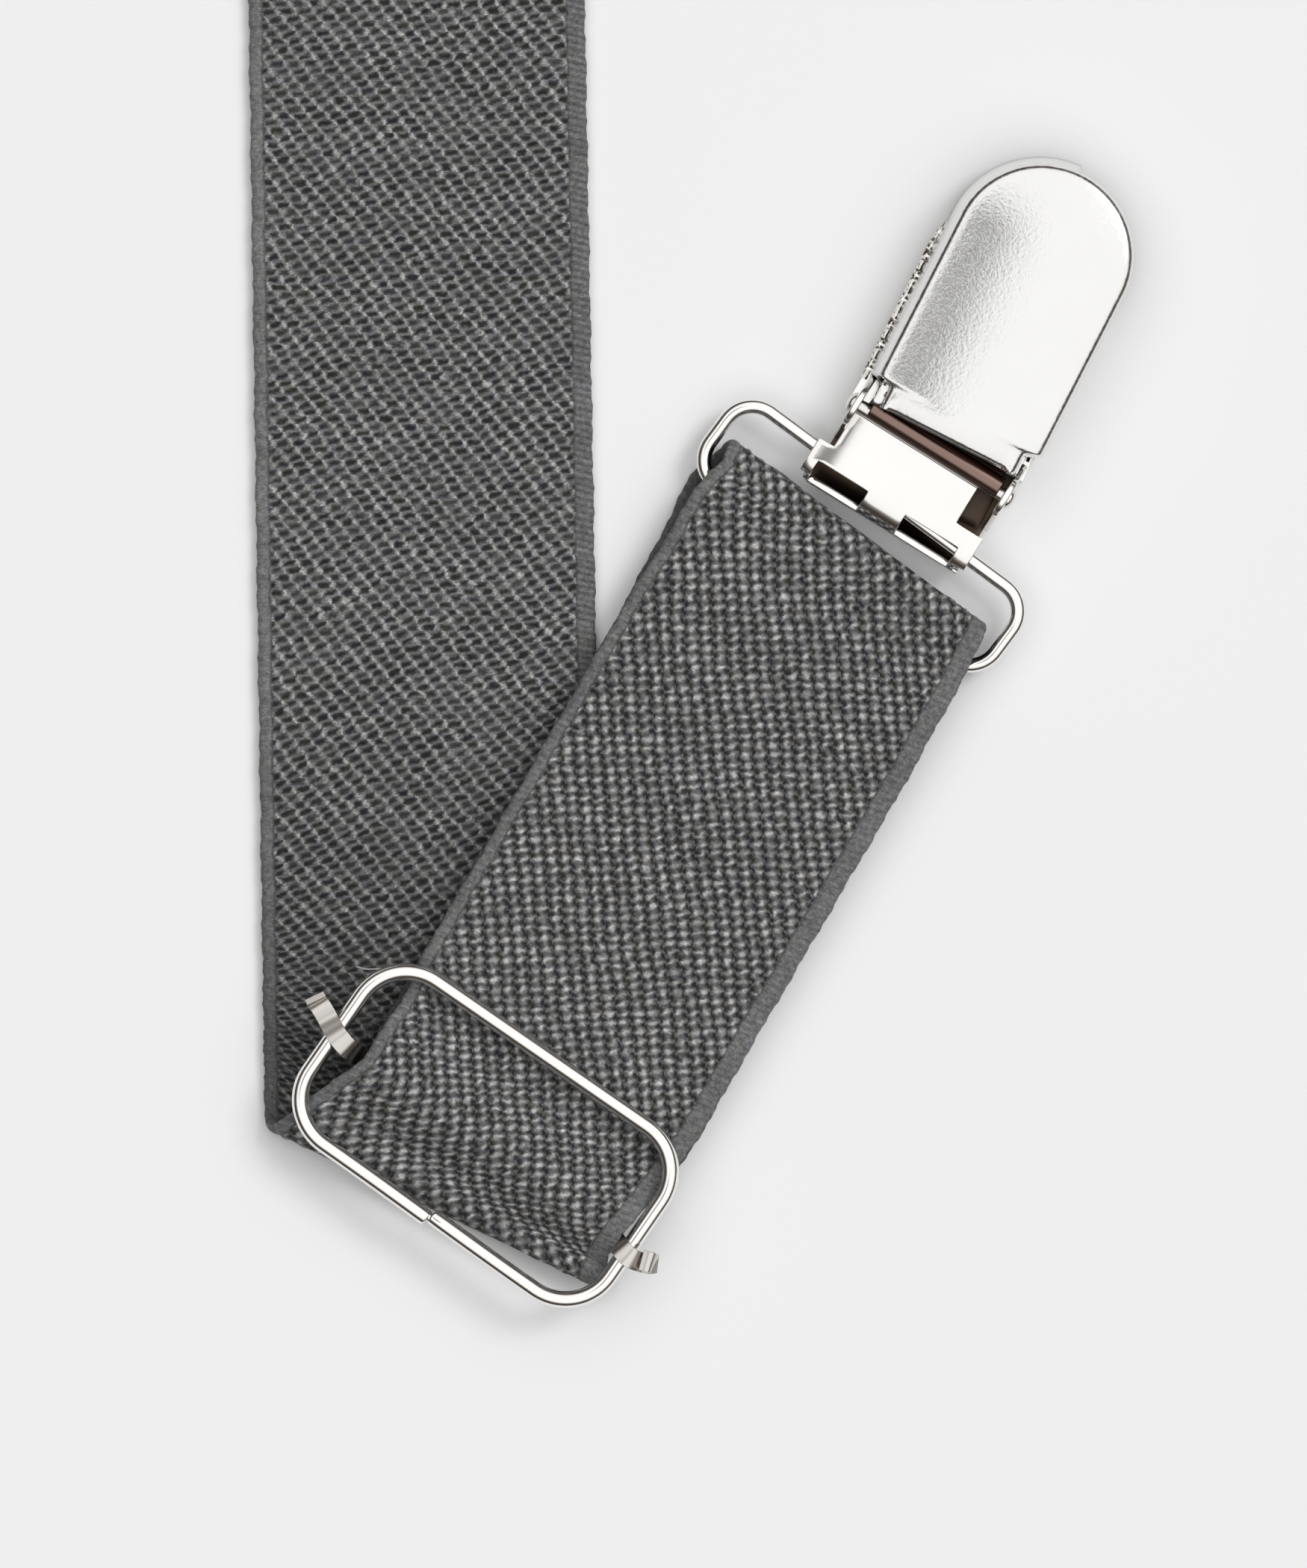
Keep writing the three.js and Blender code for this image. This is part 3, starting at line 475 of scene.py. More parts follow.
def pchip(x, y, q):
    h = np.diff(x)[:, None]
    d = np.diff(y, axis=0) / h
    m = np.zeros_like(y)
    w1, w2 = 2 * h[1:] + h[:-1], h[1:] + 2 * h[:-1]
    ok = d[:-1] * d[1:] > 0
    a, b = np.where(ok, d[:-1], 1.0), np.where(ok, d[1:], 1.0)
    m[1:-1] = np.where(ok, (w1 + w2) / (w1 / a + w2 / b), 0.0)
    m[0], m[-1] = d[0], d[-1]
    i = np.clip(np.searchsorted(x, q, side="right") - 1, 0, len(x) - 2)
    t = ((q - x[i]) / h[i, 0])[:, None]
    hi = h[i]
    return ((2 * t**3 - 3 * t**2 + 1) * y[i] + (t**3 - 2 * t**2 + t) * hi * m[i]
            + (-2 * t**3 + 3 * t**2) * y[i + 1] + (t**3 - t**2) * hi * m[i + 1])


def smoothstep(a, b, x):
    t = np.clip((x - a) / (b - a), 0, 1)
    return t * t * (3 - 2 * t)


def weave_height(v, s, face):
    px, py, hand = WEAVE[face]
    v1 = v + 0.09 * np.sin(0.62 * s + 1.3 * np.sin(0.21 * v))
    s1 = s + 0.16 * np.sin(0.33 * v + 0.8 * np.sin(0.13 * s))
    two = lambda lo, hi, x: smoothstep(lo, hi, x) * smoothstep(lo, hi, 1 - x)
    if face == "A":
        js = s1 / py
        j = np.floor(js)
        ph = v1 / px + hand * j / 3.0
        c = np.floor(ph)
        fx = ph - c
        fy = np.clip(js - j - (fx - 0.5) * 0.42, 0, 1)
        bell = np.sin(np.pi * fy) ** 0.75
        h = 0.03 - 0.13 * two(0.10, 0.33, fx) * bell + 0.07 * two(0.30, 0.47, (fx + 0.5) % 1.0) * bell
    else:
        al = (v1 - s1 * 0.617 / py) / px
        be = s1 / py + al
        j, c = np.floor(al), np.floor(be)
        fa = al - j
        fb = (be - c + (fa - 0.5) * 0.40) % 1.0
        wa, wb = two(0.10, 0.50, fa), two(0.10, 0.52, fb)
        h = -0.08 + 0.04 * wa + 0.04 * wb + 0.12 * wa * wb
    rnd = np.abs(np.sin(j * 12.9898 + c * 78.233) * 43758.5453) % 1.0
    h = h * (0.7 + 0.6 * rnd)
    lw, rw = SEL[face]
    le = 1 - smoothstep(-WEB / 2 + lw - 0.05, -WEB / 2 + lw + 0.18, v)
    re = smoothstep(WEB / 2 - rw - 0.18, WEB / 2 - rw + 0.05, v)
    rib = 0.5 + 0.5 * np.sin((s + 0.25 * v) * 2 * math.pi / 0.72)
    amount = re if face == "A" else np.maximum(le, re)
    sel = 0.02 - (0.07 if face == "A" else 0.045) * rib * amount
    edge = np.clip(le + re, 0, 1)
    h = h * (1 - edge) + sel * edge
    for x0 in (-WEB / 2 + lw, WEB / 2 - rw):
        h = h - 0.07 * (1 - smoothstep(0.0, 0.25, np.abs(v - x0)))
    return h


def chain(kind):
    near = [0.0, 0.04, 0.12, 0.24, 0.40, 0.58]
    if kind == "fine":
        step = 0.2
        mid = list(np.arange(0.75, WEB - 0.74, step))
    elif kind == "edge":
        e = list(np.arange(0.78, 5.0, 0.25))
        mid = e + list(np.linspace(6.0, WEB - 6.0, 14)) + [WEB - x for x in reversed(e)]
    else:
        mid = [0.9, 1.3, 1.9] + list(np.linspace(3.2, WEB - 3.2, 18)) + [WEB - 1.9, WEB - 1.3, WEB - 0.9]
    return np.array(near + mid + [WEB - x for x in reversed(near)])


def zipper(a, ua, b, ub, flip):
    """faces between two open chains of vertex ids with parameters ua and ub"""
    out = []
    i = j = 0
    while i < len(a) - 1 or j < len(b) - 1:
        if j == len(b) - 1 or (i < len(a) - 1 and ua[i + 1] <= ub[j + 1]):
            f = [a[i], a[i + 1], b[j]]
            i += 1
        else:
            f = [a[i], b[j + 1], b[j]]
            j += 1
        out.append(f[::-1] if flip else f)
    return out


def build_strap(name, stations, regions, bulge=None):
    """regions: (s_end, step, top kind, bottom kind, slot name suffix)"""
    pts = [stations[0]]
    for q in stations[1:]:
        if np.linalg.norm((q[:3] + q[3:]) / 2 - (pts[-1][:3] + pts[-1][3:]) / 2) > 0.03:
            pts.append(q)
    P = np.array(pts)
    mid = (P[:, :3] + P[:, 3:]) / 2
    chord = np.concatenate([[0], np.cumsum(np.linalg.norm(np.diff(mid, axis=0), axis=1))])
    q = np.linspace(0, chord[-1], int(chord[-1] / 0.08))
    D = pchip(chord, P, q)
    dm = (D[:, :3] + D[:, 3:]) / 2
    arc = np.concatenate([[0], np.cumsum(np.linalg.norm(np.diff(dm, axis=0), axis=1))])
    length = arc[-1]
    rows = []
    s = 0.0
    for end, step, top, bot, look in regions(arc, D):
        end = min(end, length)
        n = max(1, int(round((end - s) / step)))
        for k in range(n):
            rows.append((s + (end - s) * k / n, top, bot, look))
        s = end
    rows.append((length, rows[-1][1], rows[-1][2], rows[-1][3]))
    S = np.array([r[0] for r in rows])
    E = np.stack([np.interp(S, arc, D[:, k]) for k in range(6)], axis=1)
    ac_ = E[:, 3:] - E[:, :3]
    ac_ /= np.linalg.norm(ac_, axis=1)[:, None]
    wob = lambda q: 0.05 * np.sin(2.3 * S + q) + 0.05 * np.sin(0.71 * S + 2 * q) + 0.03 * np.sin(5.1 * S + 3 * q)
    E[:, :3] += ac_ * wob(0.4)[:, None]
    E[:, 3:] += ac_ * wob(1.9)[:, None]
    eps = 0.25
    F1 = np.stack([np.interp(np.clip(S + eps, 0, length), arc, D[:, k]) for k in range(6)], axis=1)
    F0 = np.stack([np.interp(np.clip(S - eps, 0, length), arc, D[:, k]) for k in range(6)], axis=1)
    across = E[:, 3:] - E[:, :3]
    nl = np.cross(across, F1[:, :3] - F0[:, :3])
    nr = np.cross(across, F1[:, 3:] - F0[:, 3:])
    nl /= np.linalg.norm(nl, axis=1)[:, None]
    nr /= np.linalg.norm(nr, axis=1)[:, None]
    verts, wv, ws, chains = [], [], [], []
    kinds = {k: chain(k) for k in ("fine", "edge", "plain")}
    base = 0
    for i, (s, top, bot, look) in enumerate(rows):
        ids = []
        for side, kind, face in ((1, top, "A"), (-1, bot, "B")):
            d = kinds[kind]
            if side == -1:
                d = d[1:-1]
            u = d / WEB
            e = np.minimum(d, WEB - d)
            half = (T / 2 - 0.03) * np.sqrt(np.clip(1 - (1 - np.clip(e / 0.6, 0, 1)) ** 2, 0, 1))
            v = d - WEB / 2
            lift = weave_height(v, np.full_like(v, s), face) * np.clip(e / 0.5, 0, 1) if kind != "plain" else 0.0 * v
            n = nl[i] + (nr[i] - nl[i]) * u[:, None]
            n /= np.linalg.norm(n, axis=1)[:, None]
            p = E[i, :3] + across[i] * u[:, None] + n * (side * (half + lift))[:, None]
            if bulge is not None:
                where, direction, amount, reach = bulge(arc, D)
                p[:, :2] += (amount * math.exp(-((s - where) / reach) ** 2) * np.sin(np.pi * u) ** 0.9)[:, None] * np.array(direction)[None, :]
            verts.append(p)
            wv.append(v)
            ws.append(np.full_like(v, s))
            ids.append((np.arange(base, base + len(d)), d))
            base += len(d)
        t_ids, t_d = ids[0]
        b_ids, b_d = ids[1]
        b_ids = np.concatenate([[t_ids[0]], b_ids, [t_ids[-1]]])
        b_d = np.concatenate([[0.0], b_d, [WEB]])
        chains.append(((t_ids, t_d), (b_ids, b_d)))
    faces, fm = [], []
    for i in range(len(rows) - 1):
        look = 0 if rows[i][3] == "fine" else 2
        for which, flip in ((0, True), (1, False)):
            (a, ua), (b, ub) = chains[i][which], chains[i + 1][which]
            m = look + which
            if len(a) == len(b):
                quads = np.stack([a[:-1], a[1:], b[1:], b[:-1]], axis=1)
                if not flip:
                    quads = quads[:, ::-1]
                faces += quads.tolist()
                fm += [m] * len(quads)
            else:
                z = zipper(list(map(int, a)), ua, list(map(int, b)), ub, not flip)
                faces += z
                fm += [m] * len(z)
    for i, flip in ((0, False), (len(rows) - 1, True)):
        (a, ua), (b, ub) = chains[i]
        z = zipper(list(map(int, a))[1:-1], ua[1:-1], list(map(int, b))[1:-1], ub[1:-1], not flip)
        z += [[int(a[0]), int(a[1]), int(b[1])][:: (-1 if not flip else 1)], [int(a[-2]), int(a[-1]), int(b[-2])][:: (-1 if not flip else 1)]]
        faces += z
        fm += [2] * len(z)
    V = row(np.concatenate(verts))
    o = add(name, V, faces, [MATS[k] for k in WEB_SLOTS], fm, True, {"wv": np.concatenate(wv), "ws": np.concatenate(ws)})
    return o, length, (arc, D)


def left_regions(arc, D):
    z = (D[:, 2] + D[:, 5]) / 2
    y = (D[:, 1] + D[:, 4]) / 2
    ring = arc[np.argmax(y[: len(y) // 3])]
    # start of the long run: lowest y after the ring fold
    after = np.where(arc > ring + 40)[0]
    low = arc[after[np.argmin(y[after[arc[after] < ring + 140]])]]
    view = arc[np.where((arc > low) & (y > 86.0))[0][0]]
    f = 0.2
    return [(ring - 3.0, 0.25, "edge", "edge", "fine"),
            (ring, f, "edge", "fine", "fine"),
            (low, f, "edge", "fine", "fine"),
            (view, f, "fine", "edge", "fine"),
            (1e9, 1.0, "plain", "plain", "plain")]


def left_bulge(arc, D):
    y = (D[:, 1] + D[:, 4]) / 2
    ring = arc[np.argmax(y[: len(y) // 3])]
    after = np.where(arc > ring + 40)[0]
    low = arc[after[np.argmin(y[after[arc[after] < ring + 140]])]]
    return low, (-0.4305, -0.9026), 0.25, 4.0


def plain_regions(arc, D):
    return [(1e9, 0.8, "plain", "plain", "plain")]


strap_l, len_l, line_l = build_strap("webbing_left", left_stations(), left_regions, left_bulge)
strap_r, len_r, line_r = build_strap("webbing_right", right_stations(), plain_regions)
strap_b, len_b, line_b = build_strap("webbing_back", back_stations(), plain_regions)
print("strap lengths mm", round(len_l, 1), round(len_r, 1), round(len_b, 1))
for o, node, length in ((strap_l, "strap_left", len_l), (strap_r, "strap_right", len_r), (strap_b, "strap_back", len_b)):
    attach(o, "root")
    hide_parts(node)
    rests = {"strap_left": ["clip_ring_left", "slider_frame_left"], "strap_right": ["clip_ring_right", "slider_frame_right"], "strap_back": ["clip_ring_back"]}[node]
    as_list(rests)


# ----------------------------------------------------------------------- wires
def place(pts, x, y, angle, z=0.0):
    """local mm to layout mm: turn by -angle about Z, then move"""
    a = math.radians(-angle)
    p = np.asarray(pts, float)
    out = np.empty_like(p)
    out[:, 0] = p[:, 0] * math.cos(a) - p[:, 1] * math.sin(a) + x
    out[:, 1] = p[:, 0] * math.sin(a) + p[:, 1] * math.cos(a) + y
    out[:, 2] = p[:, 2] + z
    return out


def rounded_path(w, h, corner, arc_steps=14, side_steps=10):
    cx, cy = w / 2 - corner, h / 2 - corner
    out = []
    corners = [(cx, cy, 0), (-cx, cy, 90), (-cx, -cy, 180), (cx, -cy, 270)]
    for n, (x, y, a) in enumerate(corners):
        for i in range(arc_steps + 1):
            t = math.radians(a + 90 * i / arc_steps)
            out.append((x + corner * math.cos(t), y + corner * math.sin(t)))
        nx, ny, na = corners[(n + 1) % 4]
        t0, t1 = math.radians(a + 90), math.radians(na)
        p0 = (x + corner * math.cos(t0), y + corner * math.sin(t0))
        p1 = (nx + corner * math.cos(t1), ny + corner * math.sin(t1))
        for i in range(1, side_steps):
            out.append((lerp(p0[0], p1[0], i / side_steps), lerp(p0[1], p1[1], i / side_steps)))
    return np.array(out)


def tube(path, radius, sides=20, closed=True):
    path = np.asarray(path, float)
    n = len(path)
    nxt, prv = np.roll(path, -1, 0), np.roll(path, 1, 0)
    if not closed:
        nxt[-1], prv[0] = path[-1], path[0]
    tan = nxt - prv
    tan /= np.linalg.norm(tan, axis=1)[:, None]
    up = np.array([0, 0, 1.0])
    side = np.cross(tan, up)
    side /= np.maximum(np.linalg.norm(side, axis=1)[:, None], 1e-9)
    nor = np.cross(side, tan)
    a = np.linspace(0, 2 * math.pi, sides, endpoint=False)
    rr = np.full(n, radius) if np.isscalar(radius) else np.asarray(radius)
    v = path[:, None, :] + rr[:, None, None] * (np.cos(a)[None, :, None] * side[:, None, :] + np.sin(a)[None, :, None] * nor[:, None, :])
    faces = []
    m = n if closed else n - 1
    for i in range(m):
        j = (i + 1) % n
        for k in range(sides):
            l = (k + 1) % sides
            faces.append([i * sides + k, i * sides + l, j * sides + l, j * sides + k])
    if not closed:
        faces.append(list(range(sides))[::-1])
        faces.append([(n - 1) * sides + k for k in range(sides)])
    return v.reshape(-1, 3), faces


def ring_wire(side):
    x, y, a, z = RINGS[side]
    p = rounded_path(36.9, RING_H, 3.3)
    if side == "left":
        p = p + np.array([-0.2, 0.0])
    zz = lerp(RING_ZLOW, RING_ZTOP, (p[:, 1] + RING_H / 2) / RING_H)
    v, f = tube(np.column_stack([p, zz]), 0.80)
    o = add(f"ring_wire_{side}", row(place(v, x, y, a, z)), f, [CHROME_WIRE])
    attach(o, f"ring_{side}")
    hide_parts(f"clip_ring_{side}")
    return o


def slider_wire(side):
    x, y, a = FRAMES[side]
    p = rounded_path(37.8, 20.8, 5.6, 18, 14)
    # start and end on the lower long side, a little left of the middle, where the two ends butt
    n = len(p)
    low = [i for i in range(n) if abs(p[i, 1] + 10.4) < 1e-6]
    k = min(low, key=lambda i: abs(p[i, 0] - (0.4 if side == "left" else -3.0)))
    seam = p[k, 0]
    p = np.vstack([p[k + 1:], p[:k]])
    g = 0.06
    first, last = np.array([seam + g, -10.4]), np.array([seam - g, -10.4])
    p = np.vstack([first, first + [0.25, 0], p, last - [0.25, 0], last])
    p[:, 1] += 0.20 * np.clip(-p[:, 1] / 10.4, 0, 1)
    zz = np.full(len(p), 5.45)
    # the two ends miss each other by a fraction of a millimetre
    d = np.minimum(np.arange(len(p)), np.arange(len(p))[::-1])
    fade = np.clip(1 - d / 8.0, 0, 1) ** 1.5
    sign = np.where(np.arange(len(p)) < len(p) / 2, 1.0, -1.0)
    p[:, 1] += 0.30 * fade * sign
    rr = np.full(len(p), 0.90)
    rr[0] = rr[-1] = 0.80
    v, f = tube(np.column_stack([p, zz]), rr, closed=False)
    o = add(f"slider_wire_{side}", row(place(v, x, y, a)), f, [CHROME_WIRE])
    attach(o, f"slider_{side}")
    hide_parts(f"slider_frame_{side}")
    return o


for side in RINGS:
    ring_wire(side)
for side in FRAMES:
    slider_wire(side)


# ------------------------------------------------------------- clip, local mm
# x across, y towards the tip, z up; the pin's middle is at (0, 6.6, 5.6)
PIN_Y, PIN_Z = 6.6, 5.6


def leaned(pts, deg):
    a = math.radians(deg)
    p = np.asarray(pts, float)
    out = p.copy()
    y = p[:, 1] - PIN_Y
    out[:, 0] = p[:, 0] * math.cos(a) - y * math.sin(a)
    out[:, 1] = p[:, 0] * math.sin(a) + y * math.cos(a) + PIN_Y
    return out


def clip_part(name, side, verts, faces, mats, body, node, mods=(), lean=0.0, fm=None):
    x, y, ang, z, _ = CLIPS[side]
    v = leaned(verts, lean) if lean else np.asarray(verts, float)
    o = add(name, row(place(v, x, y, ang, z)), faces, mats, fm)
    for kind, props in mods:
        m = o.modifiers.new(kind.lower(), kind)
        for k, val in props.items():
            setattr(m, k, val)
    o.data.set_sharp_from_angle(angle=math.radians(40))
    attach(o, body)
    if node:
        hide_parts(node)
    return o


def bake(o):
    """turn an object's modifiers into plain mesh"""
    bpy.context.view_layer.update()
    dg = bpy.context.evaluated_depsgraph_get()
    me = bpy.data.meshes.new_from_object(o.evaluated_get(dg))
    o.modifiers.clear()
    old = o.data
    o.data = me
    bpy.data.meshes.remove(old)
    return o


def bevel(width, angle=35, seg=2):
    return ("BEVEL", dict(width=width / 1000, segments=seg, limit_method="ANGLE", angle_limit=math.radians(angle)))


def solidify(t, offset=0.0, inner=0):
    return ("SOLIDIFY", dict(thickness=t / 1000, offset=offset, use_even_offset=True, material_offset=inner))


def cover_mesh(shift, flare_left):
    """pressed cover: crowned top, rolled edge, side walls; open at the rear"""
    hw, arc_y, top = 9.55, 30.0, 9.0
    crease = 8.25
    # outline from the rear left corner round the tip to the rear right one, with outward directions
    pts = []
    sh_y = 11.3
    neck = 7.9
    # neck, shoulder, side, tip
    for y in np.linspace(8.2, sh_y - 0.9, 5):
        pts.append((-neck, y, -1.0, 0.0, 0.0))
    for a in np.linspace(0, 1, 6)[1:]:
        e = a * a * (3 - 2 * a)
        pts.append((-lerp(neck, hw, e), sh_y - 0.9 + 0.9 * a, -1.0, -0.25 * (1 - a), a))
    for y in np.linspace(sh_y, arc_y, 26)[1:-1]:
        pts.append((-hw, y, -1.0, 0.0, 1.0))
    for a in np.linspace(180, 0, 61):
        t = math.radians(a)
        pts.append((hw * math.cos(t), arc_y + 9.35 * math.sin(t), math.cos(t), math.sin(t), 1.0))
    right = [(-x, y, -nx, ny, w) for x, y, nx, ny, w in pts[: 5 + 5 + 24]]
    pts += right[::-1]
    P = np.array(pts)
    n = len(P)
    prof = []   # (outward, z, share of wall)
    for o, z in ((0.62, 2.9), (0.45, 4.4), (0.27, 5.9), (0.10, 7.0)):
        prof.append((o, z))
    R = 1.0
    for a in np.linspace(0, 78, 8):
        t = math.radians(a)
        prof.append((-R + R * math.cos(t), crease - R + R * math.sin(t)))
    k0 = len(prof)
    inner = 14
    V = []
    for i in range(n):
        x, y, nx, ny, wall = P[i]
        sx_, sy_ = 0.0, min(y, arc_y)
        ln = math.hypot(x - sx_, y - sy_)
        col = []
        fl = (flare_left if x < 0 else 0.25)
        for o, z in prof:
            zz = lerp(crease - 0.9, z, wall) if z < crease - 0.9 else z
            oo = o * fl if o > 0 else o
            col.append((x + nx * oo, y + ny * oo, zz))
        x1, y1 = x - nx * 0.8, y - ny * 0.8
        z1 = crease - R + R * math.sin(math.radians(78))
        for k in range(1, inner + 1):
            f = k / inner
            xx, yy = lerp(x1, sx_, f), lerp(y1, sy_, f)
            r = 1 - f
            zz = z1 + (top - z1) * (1 - r * r)
            # the rear edge turns down a little
            back = max(0.0, 1 - (yy - 8.2) / 2.6)
            zz -= 0.55 * back * back
            col.append((xx, yy, zz))
        V.append(col)
    V = np.array(V)
    m = V.shape[1]
    V[:, :, 0] += shift
    faces = []
    for i in range(n - 1):
        for k in range(m - 1):
            a, b, c, d = i * m + k, (i + 1) * m + k, (i + 1) * m + k + 1, i * m + k + 1
            faces.append([d, c, b, a])
    return V.reshape(-1, 3), faces


def weld(verts, faces, tol=1e-3):
    key = {}
    remap = []
    out = []
    for v in verts:
        k = tuple(np.round(np.asarray(v) / tol).astype(int))
        if k not in key:
            key[k] = len(out)
            out.append(v)
        remap.append(key[k])
    fs = []
    for f in faces:
        g = []
        for i in f:
            r = remap[i]
            if r not in g:
                g.append(r)
        if len(g) > 2:
            fs.append(g)
    return np.array(out), fs


def prism(outline, z0, z1):
    n = len(outline)
    v = [(x, y, z0) for x, y in outline] + [(x, y, z1) for x, y in outline]
    f = [list(range(n))[::-1], [n + i for i in range(n)]]
    f += [[i, (i + 1) % n, n + (i + 1) % n, n + i] for i in range(n)]
    return np.array(v, float), f


def plate_x(outline_yz, x0, x1):
    n = len(outline_yz)
    v = [(x0, y, z) for y, z in outline_yz] + [(x1, y, z) for y, z in outline_yz]
    f = [list(range(n)), [n + i for i in range(n)][::-1]]
    f += [[i, n + i, n + (i + 1) % n, (i + 1) % n] for i in range(n)]
    return np.array(v, float), f


def merge(parts):
    V, F, M, base = [], [], [], 0
    for v, f, m in parts:
        V.append(np.asarray(v, float))
        F += [[i + base for i in q] for q in f]
        M += [m] * len(f)
        base += len(v)
    return np.concatenate(V), F, M


def arc(cx, cy, r, a0, a1, n):
    return [(cx + r * math.cos(math.radians(lerp(a0, a1, i / n))), cy + r * math.sin(math.radians(lerp(a0, a1, i / n)))) for i in range(n + 1)]


def hanger_grid():
    """the rolled end: a strip in (x, along the section) with windows and shoulders"""
    w = 0.9
    rollR = (4.7 - w / 2) / 2
    zc = w / 2 + rollR
    sec = [(5.95 if i == 0 else 6.1 - 0.55 * i, 4.7) for i in range(12)]
    sec = [(y, 4.7 + (0.04 if i == 0 else 0.0)) for i, (y, z) in enumerate(sec)]
    sec += [(-0.425 + rollR * math.cos(math.radians(a)), zc + rollR * math.sin(math.radians(a))) for a in np.linspace(90, 270, 17)]
    sec += [(y, w / 2) for y in (0.6, 2.0, 3.4, 5.0, 6.6, 8.2, 9.6)]
    xs = [-10.5, -9.9, -9.3, -8.75, -8.0, -7.0, -6.0, -5.0, -4.0, -3.3, -2.2, -1.0, 0.2, 1.3, 2.4, 3.5, 4.6, 5.5, 6.2, 7.0, 7.7, 8.4, 9.0, 9.5]
    V = [(x, y, z) for (y, z) in sec for x in xs]
    F = []
    nx = len(xs)
    for i in range(len(sec) - 1):
        ym = (sec[i][0] + sec[i + 1][0]) / 2
        zm = (sec[i][1] + sec[i + 1][1]) / 2
        for k in range(nx - 1):
            xm = (xs[k] + xs[k + 1]) / 2
            upper = zm > 3.2
            if upper and ym > 1.75 and not (-8.75 < xm < 6.2):
                continue
            if upper and -2.35 < ym < -0.35 and (-9.3 < xm < -3.3 or 1.3 < xm < 7.7):
                continue
            if upper and ym <= -2.0 and not (-9.9 < xm < 8.4):
                continue
            if not upper and not (-9.3 < xm < 9.0):
                continue
            a = i * nx + k
            F.append([a + nx, a + nx + 1, a + 1, a])
    V = [(x, y, z - (0.03 * (-x - 6.6) ** 2 if x < -6.6 and z > 3.2 else 0.0)) for x, y, z in V]
    used = sorted({i for f in F for i in f})
    m = {u: n for n, u in enumerate(used)}
    return np.array([V[u] for u in used], float), [[m[i] for i in f] for f in F]


def jaw_tray():
    """lower jaw: flat plate with a turned-up, serrated rim"""
    half, arc_y = 10.0, 25.5
    path = [(-half, y) for y in np.linspace(10.2, arc_y, 60)]
    path += [(half * math.cos(math.radians(a)), arc_y + half * math.sin(math.radians(a))) for a in np.linspace(180, 0, 90)[1:-1]]
    path += [(half, y) for y in np.linspace(arc_y, 10.2, 60)]
    p = np.array(path)
    tan = np.gradient(p, axis=0)
    tan /= np.linalg.norm(tan, axis=1)[:, None]
    nor = np.column_stack([tan[:, 1], -tan[:, 0]])      # points inwards
    if nor[0, 0] < 0:
        nor = -nor
    s = np.concatenate([[0], np.cumsum(np.linalg.norm(np.diff(p, axis=0), axis=1))])
    tooth = np.abs(((s / 1.15) % 1.0) - 0.5) * 2
    ztop = 2.15 + 0.75 * tooth
    V, F = [], []
    for i in range(len(p)):
        o, q = p[i], p[i] + nor[i] * 0.7
        V += [(o[0], o[1], 0.05), (o[0], o[1], ztop[i] - 0.12), (o[0] + nor[i][0] * 0.15, o[1] + nor[i][1] * 0.15, ztop[i]),
              (q[0] - nor[i][0] * 0.1, q[1] - nor[i][1] * 0.1, ztop[i]), (q[0], q[1], ztop[i] - 0.12), (q[0], q[1], 0.05)]
    for i in range(len(p) - 1):
        for k in range(6):
            a, b = i * 6 + k, i * 6 + (k + 1) % 6
            F.append([a, b, b + 6, a + 6])
    F.append([0, 5, 4, 3, 2, 1])
    e = (len(p) - 1) * 6
    F.append([e, e + 1, e + 2, e + 3, e + 4, e + 5])
    outline = [(x, y) for x, y in zip(p[:, 0], p[:, 1])]
    outline = [(-half + 0.05, 8.2)] + [(x * 0.985, y - 0.05) for x, y in outline[::2]] + [(half - 0.05, 8.2)]
    v2, f2 = prism(outline[::-1], 0.0, 0.85)
    return (np.array(V), F), (v2, f2)


